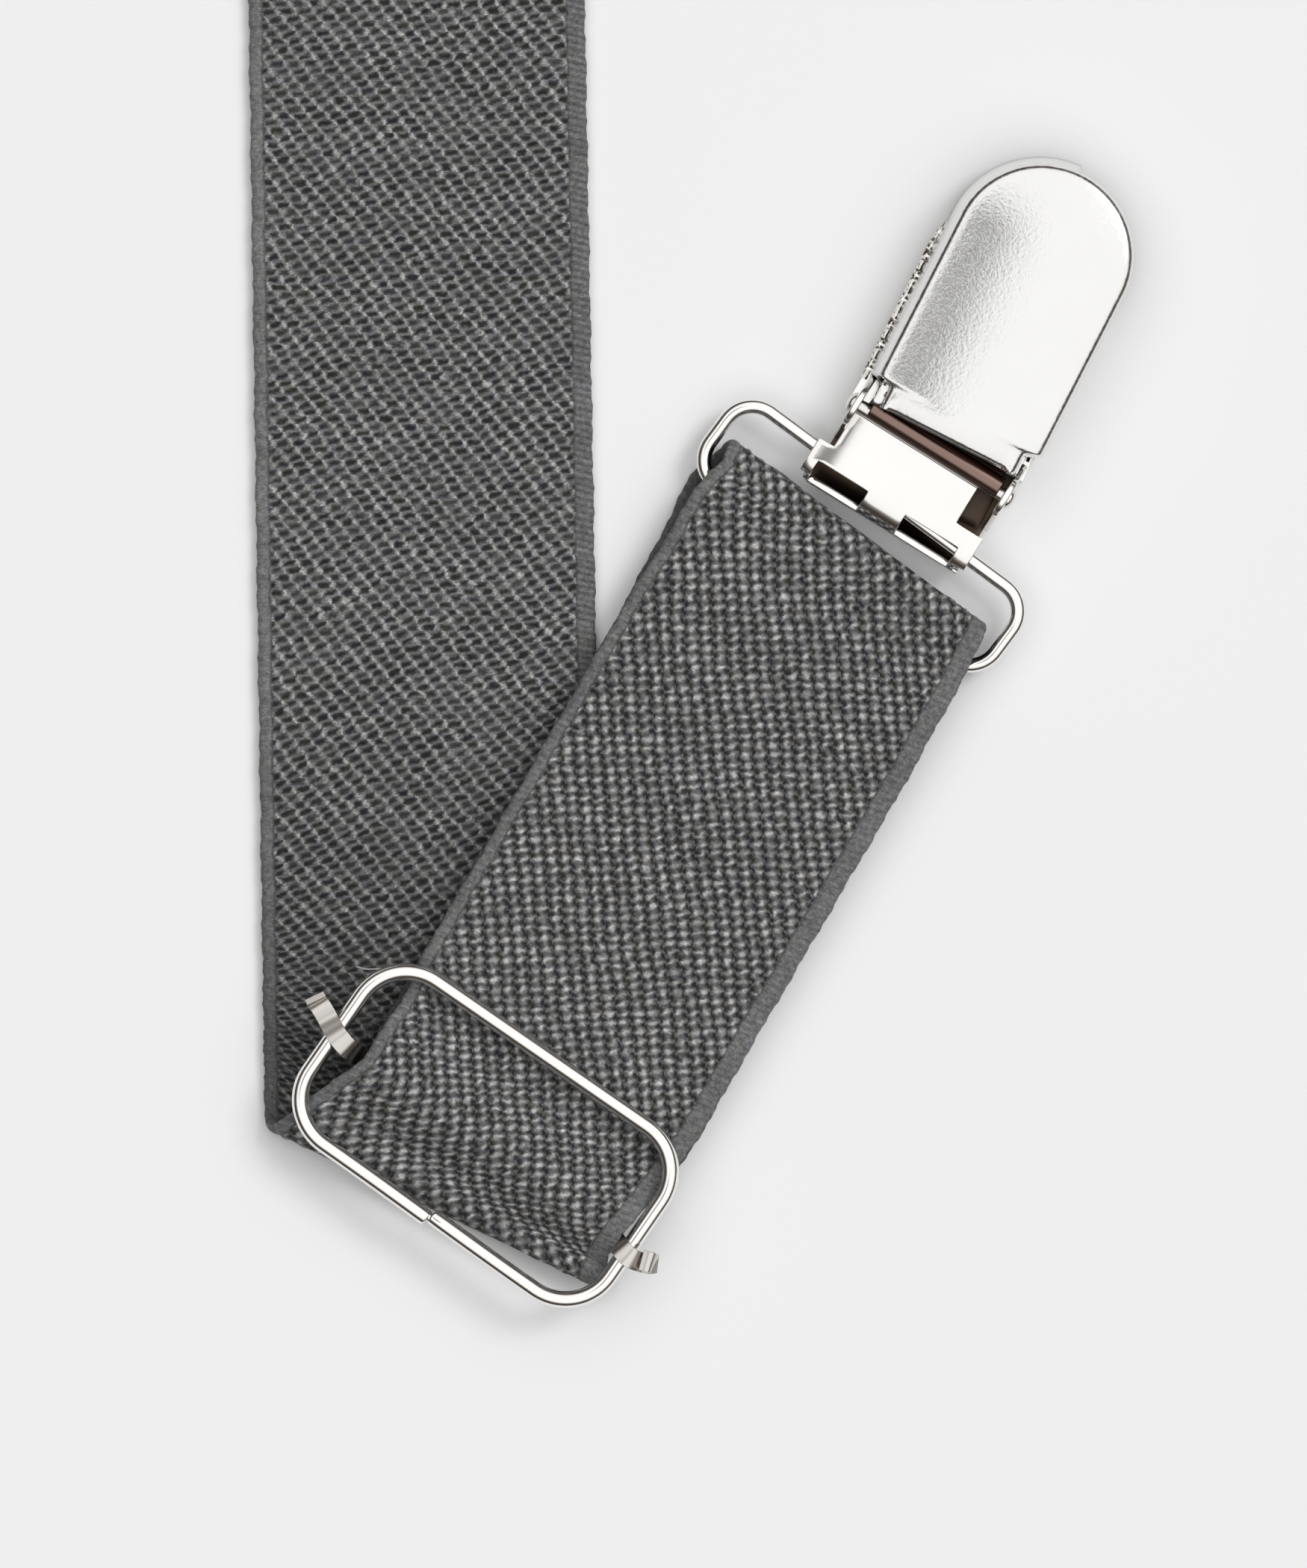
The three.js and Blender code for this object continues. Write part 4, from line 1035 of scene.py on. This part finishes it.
def build_clip(side):
    lean = CLIPS[side][4]
    shift = 1.0 if side == "left" else 0.0
    dark = len(CLIP_DARK)
    # cover
    v, f = cover_mesh(shift, 1.45 if side == "left" else 0.5)
    v, f = weld(v, f)
    # barrel that the pin runs in, and the cam under the rear edge, go with the cover
    bake(clip_part(f"cover_{side}", side, v, f, [CHROME_COVER, BROWN_INNER], f"lever_{side}", f"clip_lever_{side}",
                   [solidify(0.7, -1.0, 1)], lean=lean))
    knuckle = []
    sec = [(PIN_Y + 0.55 + 1.15 * math.cos(math.radians(a)), PIN_Z + 0.1 + 1.15 * math.sin(math.radians(a))) for a in np.linspace(0, 360, 29)[:-1]]
    kv, kf = plate_x(sec, -7.6, 8.2)
    cam = [(8.5, 4.3), (9.1, 4.2), (9.5, 5.4), (9.4, 7.6), (8.8, 7.9), (8.6, 6.4)]
    cv, cf = plate_x(cam, -7.2, 7.8)
    mv, mf, mm = merge([(kv, kf, 0), (cv, cf, 0)])
    clip_part(f"cover_knuckle_{side}", side, mv, mf, [KNUCKLE], f"lever_{side}", None, [bevel(0.12)])
    # body: rolled hanger, ears, tray
    hv, hf = hanger_grid()
    bake(clip_part(f"clip_hanger_{side}", side, hv, hf, [CHROME_BODY, BROWN_INNER], f"clip_{side}", f"clip_body_{side}",
                   [solidify(0.78, 0.0, 1), bevel(0.1, 50, 2)]))
    (rv, rf), (tv, tf_) = jaw_tray()
    mv, mf, mm = merge([(rv, rf, 0), (tv, tf_, 0)])
    clip_part(f"clip_tray_{side}", side, mv, mf, [CHROME_BODY], f"clip_{side}", None, lean=lean)
    ears = []
    for sgn, x0 in ((-1, -9.45), (1, 8.75)):
        out = [(2.6, 0.5), (9.8, 0.5), (10.6, 2.6), (9.7, PIN_Z)] + arc(PIN_Y, PIN_Z, 2.55, 25, 165, 14) + [(3.4, 3.9), (2.6, 2.6)]
        ev, ef = plate_x(out, x0, x0 + 0.7)
        ears.append((ev, ef, 0))
    mv, mf, mm = merge(ears)
    clip_part(f"clip_ears_{side}", side, mv, mf, [CHROME_BODY], f"clip_{side}", None, [bevel(0.16, 40, 3)])
    # pin with domed heads
    prof = [(-10.15, 0.0)]
    prof += [(-9.5 - 0.65 * math.cos(math.radians(a)), 1.12 * math.sin(math.radians(a))) for a in np.linspace(12, 90, 7)]
    prof += [(-9.48, 0.7), (9.48, 0.7)]
    prof += [(9.5 + 0.65 * math.cos(math.radians(a)), 1.12 * math.sin(math.radians(a))) for a in np.linspace(90, 12, 7)]
    prof += [(10.15, 0.0)]
    nseg = 24
    V, F = [], []
    for x, r in prof:
        for k in range(nseg):
            t = 2 * math.pi * k / nseg
            V.append((x, PIN_Y + r * math.cos(t), PIN_Z + r * math.sin(t)))
    for i in range(len(prof) - 1):
        for k in range(nseg):
            l = (k + 1) % nseg
            F.append([i * nseg + k, (i + 1) * nseg + k, (i + 1) * nseg + l, i * nseg + l])
    V, F = weld(np.array(V), F)
    clip_part(f"clip_pin_{side}_turned", side, V, F, [STEEL_PIN], f"clip_{side}", f"clip_pin_{side}")
    # spring jaw: dark plate under the hanger, toothed at the front
    xs = list(np.linspace(-8.1, 8.1, 28))
    ys = [1.6, 3.0, 5.0, 7.5, 10.2, 11.4, 13.0, 16.0, 20.0, 24.0, 28.0, 31.0, 32.0, 33.0]
    V = []
    for y in ys:
        for i, x in enumerate(xs):
            z = 1.95 if y < 10.3 else 2.45
            if y > 31.5:
                z = 2.45 - 0.45 * (y - 31.5)
            yy = y if y < 33.0 else (33.4 if i % 4 in (1, 2) else 32.5)
            wd = 1.0 if y < 8 else 0.93
            V.append((x * wd, yy, z))
    nx = len(xs)
    F = [[i * nx + k, i * nx + k + 1, (i + 1) * nx + k + 1, (i + 1) * nx + k] for i in range(len(ys) - 1) for k in range(nx - 1)
         if not (14 < (ys[i] + ys[i + 1]) / 2 < 22 and abs(xs[k] + xs[k + 1]) / 2 < 3)]
    bake(clip_part(f"spring_jaw_{side}", side, V, F, [STEEL_JAW], f"jaw_{side}", f"clip_jaw_{side}", [solidify(0.55, 0.0), bevel(0.08, 40, 1)], lean=lean))
    # grip pad with raised ribs
    parts = [(*prism([(-6.2, 22.5), (6.2, 22.5), (6.2, 29.6), (5.2, 31), (-5.2, 31), (-6.2, 29.6)], 0.95, 1.45), 0)]
    for y in np.arange(23.2, 30.2, 1.1):
        parts.append((*prism([(-5.6, y), (5.6, y), (5.6, y + 0.5), (-5.6, y + 0.5)], 1.4, 1.8), 0))
    mv, mf, mm = merge(parts)
    clip_part(f"grip_pad_{side}", side, mv, mf, [GRIP], f"clip_{side}", f"jaw_grip_{side}", [bevel(0.12, 40, 2)], lean=lean)


CLIP_DARK = []
BROWN_INNER = metal_material("inner_brown", (0.13, 0.092, 0.068, 1), 0.42, 0.3, 700.0)
KNUCKLE = metal_material("knuckle", (0.30, 0.205, 0.175, 1), 0.24, 0.35, 500.0)
for side in CLIPS:
    build_clip(side)


# --------------------------------------------------------- slider bars, yoke
def ribbon(path, width, t, widths=None):
    """a thin strip along a path, level across its width"""
    p = np.asarray(path, float)
    tan = np.gradient(p, axis=0)
    tan /= np.linalg.norm(tan, axis=1)[:, None]
    side = np.column_stack([-tan[:, 1], tan[:, 0], np.zeros(len(p))])
    # keep the width direction steady where the strip goes straight up
    ref = side.copy()
    for i in range(len(p)):
        ln = np.linalg.norm(side[i])
        ref[i] = side[i] / ln if ln > 0.15 else ref[i - 1]
    nor = np.cross(tan, ref)
    w = np.full(len(p), width) if widths is None else np.asarray(widths)
    V = []
    for i in range(len(p)):
        for a, b in ((-1, -1), (1, -1), (1, 1), (-1, 1)):
            V.append(p[i] + ref[i] * a * w[i] / 2 + nor[i] * b * t / 2)
    F = []
    for i in range(len(p) - 1):
        for k in range(4):
            a, b = i * 4 + k, i * 4 + (k + 1) % 4
            F.append([a, b, b + 4, a + 4])
    F.append([3, 2, 1, 0])
    e = (len(p) - 1) * 4
    F.append([e, e + 1, e + 2, e + 3])
    return np.array(V), F


def fine_path(points, n=8):
    P = np.array(points, float)
    d = np.concatenate([[0], np.cumsum(np.linalg.norm(np.diff(P, axis=0), axis=1))])
    q = np.linspace(0, d[-1], (len(P) - 1) * n + 1)
    return pchip(d, P, q)


def slider_bar(side):
    x, y, a = BARS[side]
    if side == "left":
        ax, ay = math.cos(math.radians(-a)), math.sin(math.radians(-a))
        L = lambda d, z: (x + ax * d, y + ay * d, z)
        left = [L(0, 3.4), L(-9, 3.4), L(-14.2, 3.4), (-30.6, -28.2, 3.9), (-31.2, -27.8, 5.6), (-31.9, -27.2, 6.75),
                (-32.6, -26.4, 6.95), (-33.3, -25.3, 6.35), (-33.9, -24.2, 5.75), (-34.5, -23.2, 5.7), (-35.0, -22.4, 6.2), (-35.1, -22.2, 6.6)]
        right = [L(0, 3.4), L(9, 3.4), L(14.5, 3.4), (-4.6, -46.6, 3.9), (-3.9, -47.5, 5.4), (-3.2, -48.4, 6.7), (-2.5, -49.1, 6.95),
                 (-1.7, -49.5, 6.4), (-1.0, -49.7, 5.8), (-0.35, -49.8, 5.9), (-0.1, -49.75, 6.6), (-0.5, -49.6, 7.25), (-1.2, -49.4, 7.1)]
    else:
        L = lambda d, z, dy=0.0: (x + d, y + dy, z)
        left = [L(0, 3.4), L(-9, 3.4), L(-15, 3.4), L(-16.9, 3.8), L(-17.6, 5.4), L(-18.3, 6.7), L(-19.2, 6.95), L(-20.3, 6.3), L(-21.6, 5.7, 0.3), L(-22.8, 6.2, 0.7)]
        right = [L(0, 3.4), L(9, 3.4), L(15, 3.4), L(16.9, 3.8), L(17.6, 5.4), L(18.3, 6.7), L(19.2, 6.95), L(20.3, 6.3), L(21.6, 5.7, -0.3), L(22.8, 6.2, -0.6)]
    parts = []
    for path in (left, right):
        v, f = ribbon(fine_path(path), 2.15, 0.62)
        parts.append((v, f, 0))
    mv, mf, mm = merge(parts)
    o = add(f"bar_strip_{side}", row(mv), mf, [STEEL_STRIP])
    m = o.modifiers.new("edge", "BEVEL")
    m.width, m.segments, m.limit_method, m.angle_limit = 0.00014, 2, "ANGLE", math.radians(40)
    o.data.set_sharp_from_angle(angle=math.radians(50))
    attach(o, "root")
    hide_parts(f"slider_bar_{side}")


for side in BARS:
    slider_bar(side)

YOKE = [(-19, 280), (19, 280), (22, 277), (40.5, 236), (40.5, 231), (38, 228.5), (3, 216), (-3, 216), (-38, 228.5), (-40.5, 231), (-40.5, 236), (-22, 277)]


def round_outline(pts, r, n=6):
    out = []
    m = len(pts)
    for i in range(m):
        a, b, c = (np.array(pts[(i + k) % m], float) for k in (-1, 0, 1))
        u, w = (a - b) / np.linalg.norm(a - b), (c - b) / np.linalg.norm(c - b)
        k = min(r, np.linalg.norm(a - b) * 0.45, np.linalg.norm(c - b) * 0.45)
        p, q = b + u * k, b + w * k
        for j in range(n + 1):
            t = j / n
            out.append((1 - t) ** 2 * p + 2 * t * (1 - t) * b + t * t * q)
    return np.array(out)


def inset(pts, d):
    p = np.asarray(pts, float)
    nx, pv = np.roll(p, -1, 0), np.roll(p, 1, 0)
    t = nx - pv
    t /= np.linalg.norm(t, axis=1)[:, None]
    return p + np.column_stack([-t[:, 1], t[:, 0]]) * d


def resample_closed(p, step):
    q = np.vstack([p, p[:1]])
    d = np.concatenate([[0], np.cumsum(np.linalg.norm(np.diff(q, axis=0), axis=1))])
    n = int(round(d[-1] / step))
    s = np.linspace(0, d[-1], n, endpoint=False)
    return np.column_stack([np.interp(s, d, q[:, 0]), np.interp(s, d, q[:, 1])])


def area2(p):
    return np.sum(p[:, 0] * np.roll(p[:, 1], -1) - np.roll(p[:, 0], -1) * p[:, 1])


def yoke(name, z0, z1, up):
    """one leather plate: rounded edge, and a pressed groove along the stitch line"""
    base = resample_closed(round_outline([(x + MIRROR_X, y) for x, y in YOKE], 3.0), 1.2)
    if area2(base) < 0:
        base = base[::-1]
    zf, zb = (z1, z0) if up else (z0, z1)
    sg = 1 if up else -1
    rings = [(0.45, zb), (0.0, zb + sg * 0.35), (0.0, zf - sg * 0.4), (0.18, zf - sg * 0.12), (0.45, zf), (1.9, zf), (2.25, zf - sg * 0.16), (2.6, zf - sg * 0.16), (2.95, zf), (4.0, zf)]
    V = []
    for d, z in rings:
        q = inset(base, d)
        V.append(np.column_stack([q, np.full(len(q), z)]))
    n = len(base)
    F = []
    for k in range(len(rings) - 1):
        for i in range(n):
            j = (i + 1) % n
            F.append([k * n + i, k * n + j, (k + 1) * n + j, (k + 1) * n + i][:: sg])
    F.append([(len(rings) - 1) * n + i for i in range(n)][:: sg])
    F.append([i for i in range(n)][:: -sg])
    o = add(name, row(np.concatenate(V)), F, [LEATHER])
    o.data.set_sharp_from_angle(angle=math.radians(60))
    return o, inset(base, 2.42), zf, sg


def stitches(name, line, z, length, gap, r, mat, body="root", closed=True, sg=1, lift=0.0):
    """short raised threads along a line"""
    p = np.asarray(line, float)
    if closed:
        p = np.vstack([p, p[:1]])
    d = np.concatenate([[0], np.cumsum(np.linalg.norm(np.diff(p[:, :2], axis=0), axis=1))])
    V, F, base = [], [], 0
    s = gap / 2
    zz = z if hasattr(z, "__len__") else None
    while s + length < d[-1]:
        q = np.linspace(s, s + length, 6)
        x, y = np.interp(q, d, p[:, 0]), np.interp(q, d, p[:, 1])
        zl = (np.interp(q, d, p[:, 2]) if p.shape[1] > 2 else np.full(6, float(z))) + sg * (r * np.array([-0.9, 0.25, 0.55, 0.55, 0.25, -0.9]) + lift)
        v, f = tube(np.column_stack([x, y, zl]), r, 6, closed=False)
        V.append(v)
        F += [[i + base for i in k] for k in f]
        base += len(v)
        s += length + gap
    o = add(name, row(np.concatenate(V)), F, [mat])
    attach(o, body)
    return o


ztop = Z0 + 2 * LEVEL
for name, z0, z1, up in (("yoke_back", ztop - T / 2 - GAP - 1.2, ztop - T / 2 - GAP, False), ("yoke_front", ztop + T / 2 + GAP, ztop + T / 2 + GAP + 1.2, True)):
    o, line, zf, sg = yoke(f"{name}_leather", z0, z1, up)
    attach(o, "root")
    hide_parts(name)
    s_ = stitches(f"{name}_stitch", line, zf - sg * 0.16, 2.3, 0.7, 0.22, THREAD_DARK, sg=sg)

# a loose end of yarn above the slider
hair = fine_path([(-30.9, -19.0, 3.2), (-29.6, -19.25, 4.2), (-28.2, -19.2, 4.9), (-27.2, -19.45, 4.7), (-26.3, -19.35, 4.3)], 8)
hv_, hf_ = tube(hair, 0.085, 8, closed=False)
ho = add("loose_yarn", row(hv_), hf_, [YARN])
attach(ho, "root")

# sewn tails: a boxed cross where the rear strap's end is turned back
bx = [(MIRROR_X + a, b) for a, b in ((-13.5, 158), (13.5, 158), (13.5, 172.5), (-13.5, 172.5), (-13.5, 158), (13.5, 172.5))]
bx2 = [(MIRROR_X + a, b) for a, b in ((13.5, 158), (-13.5, 172.5))]
zb_ = Z_BACK + T / 2


def dense(pts, step=0.5):
    p = np.array(pts, float)
    d = np.concatenate([[0], np.cumsum(np.linalg.norm(np.diff(p, axis=0), axis=1))])
    s = np.linspace(0, d[-1], int(d[-1] / step))
    return np.column_stack([np.interp(s, d, p[:, 0]), np.interp(s, d, p[:, 1])])


for k, pts in enumerate((bx, bx2)):
    s_ = stitches(f"tail_stitch_{k}", dense(pts), zb_, 1.9, 0.7, 0.2, THREAD_DARK, closed=False)

# --------------------------------------------------------------- floor, light
fl = add("table_top", [(-2, -2, -0.0002), (2, -2, -0.0002), (2, 2, -0.0002), (-2, 2, -0.0002)], [[0, 1, 2, 3]], [], None, False)
tf = Tree("table_white")
tco = tf.node("ShaderNodeTexCoord").outputs["Object"]
tn = tf.noise(tco, 40.0, 2.0, 0.5)
fl.data.materials.append(tf.finish(Base_Color=tf.mixc(tn, (0.905, 0.912, 0.92, 1), (0.91, 0.917, 0.925, 1)), Roughness=0.95, Specular_IOR_Level=0.0))

scene = bpy.context.scene
world = bpy.data.worlds.new("studio")
scene.world = world
world.use_nodes = True
wt = world.node_tree
wt.nodes.clear()
wo = wt.nodes.new("ShaderNodeOutputWorld")
bg = wt.nodes.new("ShaderNodeBackground")
co = wt.nodes.new("ShaderNodeTexCoord")
sx = wt.nodes.new("ShaderNodeSeparateXYZ")
ramp = wt.nodes.new("ShaderNodeValToRGB")
def wm(op, a, b=None, c=None, clamp=False):
    n = wt.nodes.new("ShaderNodeMath")
    n.operation, n.use_clamp = op, clamp
    for i, v in enumerate((a, b, c)):
        if isinstance(v, bpy.types.NodeSocket):
            wt.links.new(v, n.inputs[i])
        elif v is not None:
            n.inputs[i].default_value = v
    return n.outputs[0]


def world_dot(v):
    n = wt.nodes.new("ShaderNodeVectorMath")
    n.operation = "DOT_PRODUCT"
    wt.links.new(co.outputs["Generated"], n.inputs[0])
    n.inputs[1].default_value = v
    return n.outputs["Value"]


# height in the sky, raised towards the light and lowered away from it
lean = world_dot((0.12, 0.10, 0.0))
wt.links.new(co.outputs["Generated"], sx.inputs[0])
wt.links.new(wm("ADD", sx.outputs["Z"], lean), ramp.inputs[0])
el = ramp.color_ramp.elements
el[0].position, el[0].color = 0.0, (0.05, 0.040, 0.033, 1)
el[1].position, el[1].color = 1.0, (1.0, 1.0, 1.0, 1)
for pos, colr in ((0.30, (0.055, 0.045, 0.038, 1)), (0.52, (0.22, 0.20, 0.185, 1)), (0.66, (0.92, 0.91, 0.90, 1))):
    e = el.new(pos)
    e.color = colr
tilt = math.radians(15)
blob_dir = Vector((-0.891 * math.sin(tilt), 0.454 * math.sin(tilt), math.cos(tilt)))
blob = wt.nodes.new("ShaderNodeMapRange")
blob.interpolation_type = "SMOOTHSTEP"
wt.links.new(world_dot(blob_dir), blob.inputs["Value"])
blob.inputs["From Min"].default_value = math.cos(math.radians(9.5))
blob.inputs["From Max"].default_value = math.cos(math.radians(4.0))
mixw = wt.nodes.new("ShaderNodeMix")
mixw.data_type = "RGBA"
rgba = [i for i in mixw.inputs if i.type == "RGBA"]
wt.links.new(blob.outputs[0], mixw.inputs["Factor"])
wt.links.new(ramp.outputs[0], rgba[0])
rgba[1].default_value = (0.20, 0.20, 0.195, 1)
wt.links.new([o for o in mixw.outputs if o.type == "RGBA"][0], bg.inputs["Color"])
wt.links.new(bg.outputs[0], wo.inputs["Surface"])
bg.inputs["Strength"].default_value = 1.165

sun = bpy.data.lights.new("key", "SUN")
sun.energy = 0.80
sun.angle = math.radians(22)
so = bpy.data.objects.new("key", sun)
to_light = Vector((0.62, 0.36, 0.8)).normalized()
so.rotation_mode = "QUATERNION"
so.rotation_quaternion = to_light.to_track_quat("Z", "Y")
scene.collection.objects.link(so)

D = 2.0
cam = bpy.data.cameras.new("camera")
cam.sensor_fit = "VERTICAL"
cam.lens_unit = "FOV"
cam.angle = 2 * math.atan(0.08165 / D)
cam.clip_start, cam.clip_end = 0.01, 20
camo = bpy.data.objects.new("camera", cam)
camo.location = (-CX / 1000, -CY / 1000, D)
scene.collection.objects.link(camo)
scene.camera = camo
scene.view_settings.view_transform = "Standard"
scene.view_settings.look = "None"
scene.view_settings.exposure = 0.0
scene.view_settings.gamma = 1.0
scene.cycles.max_bounces = 8
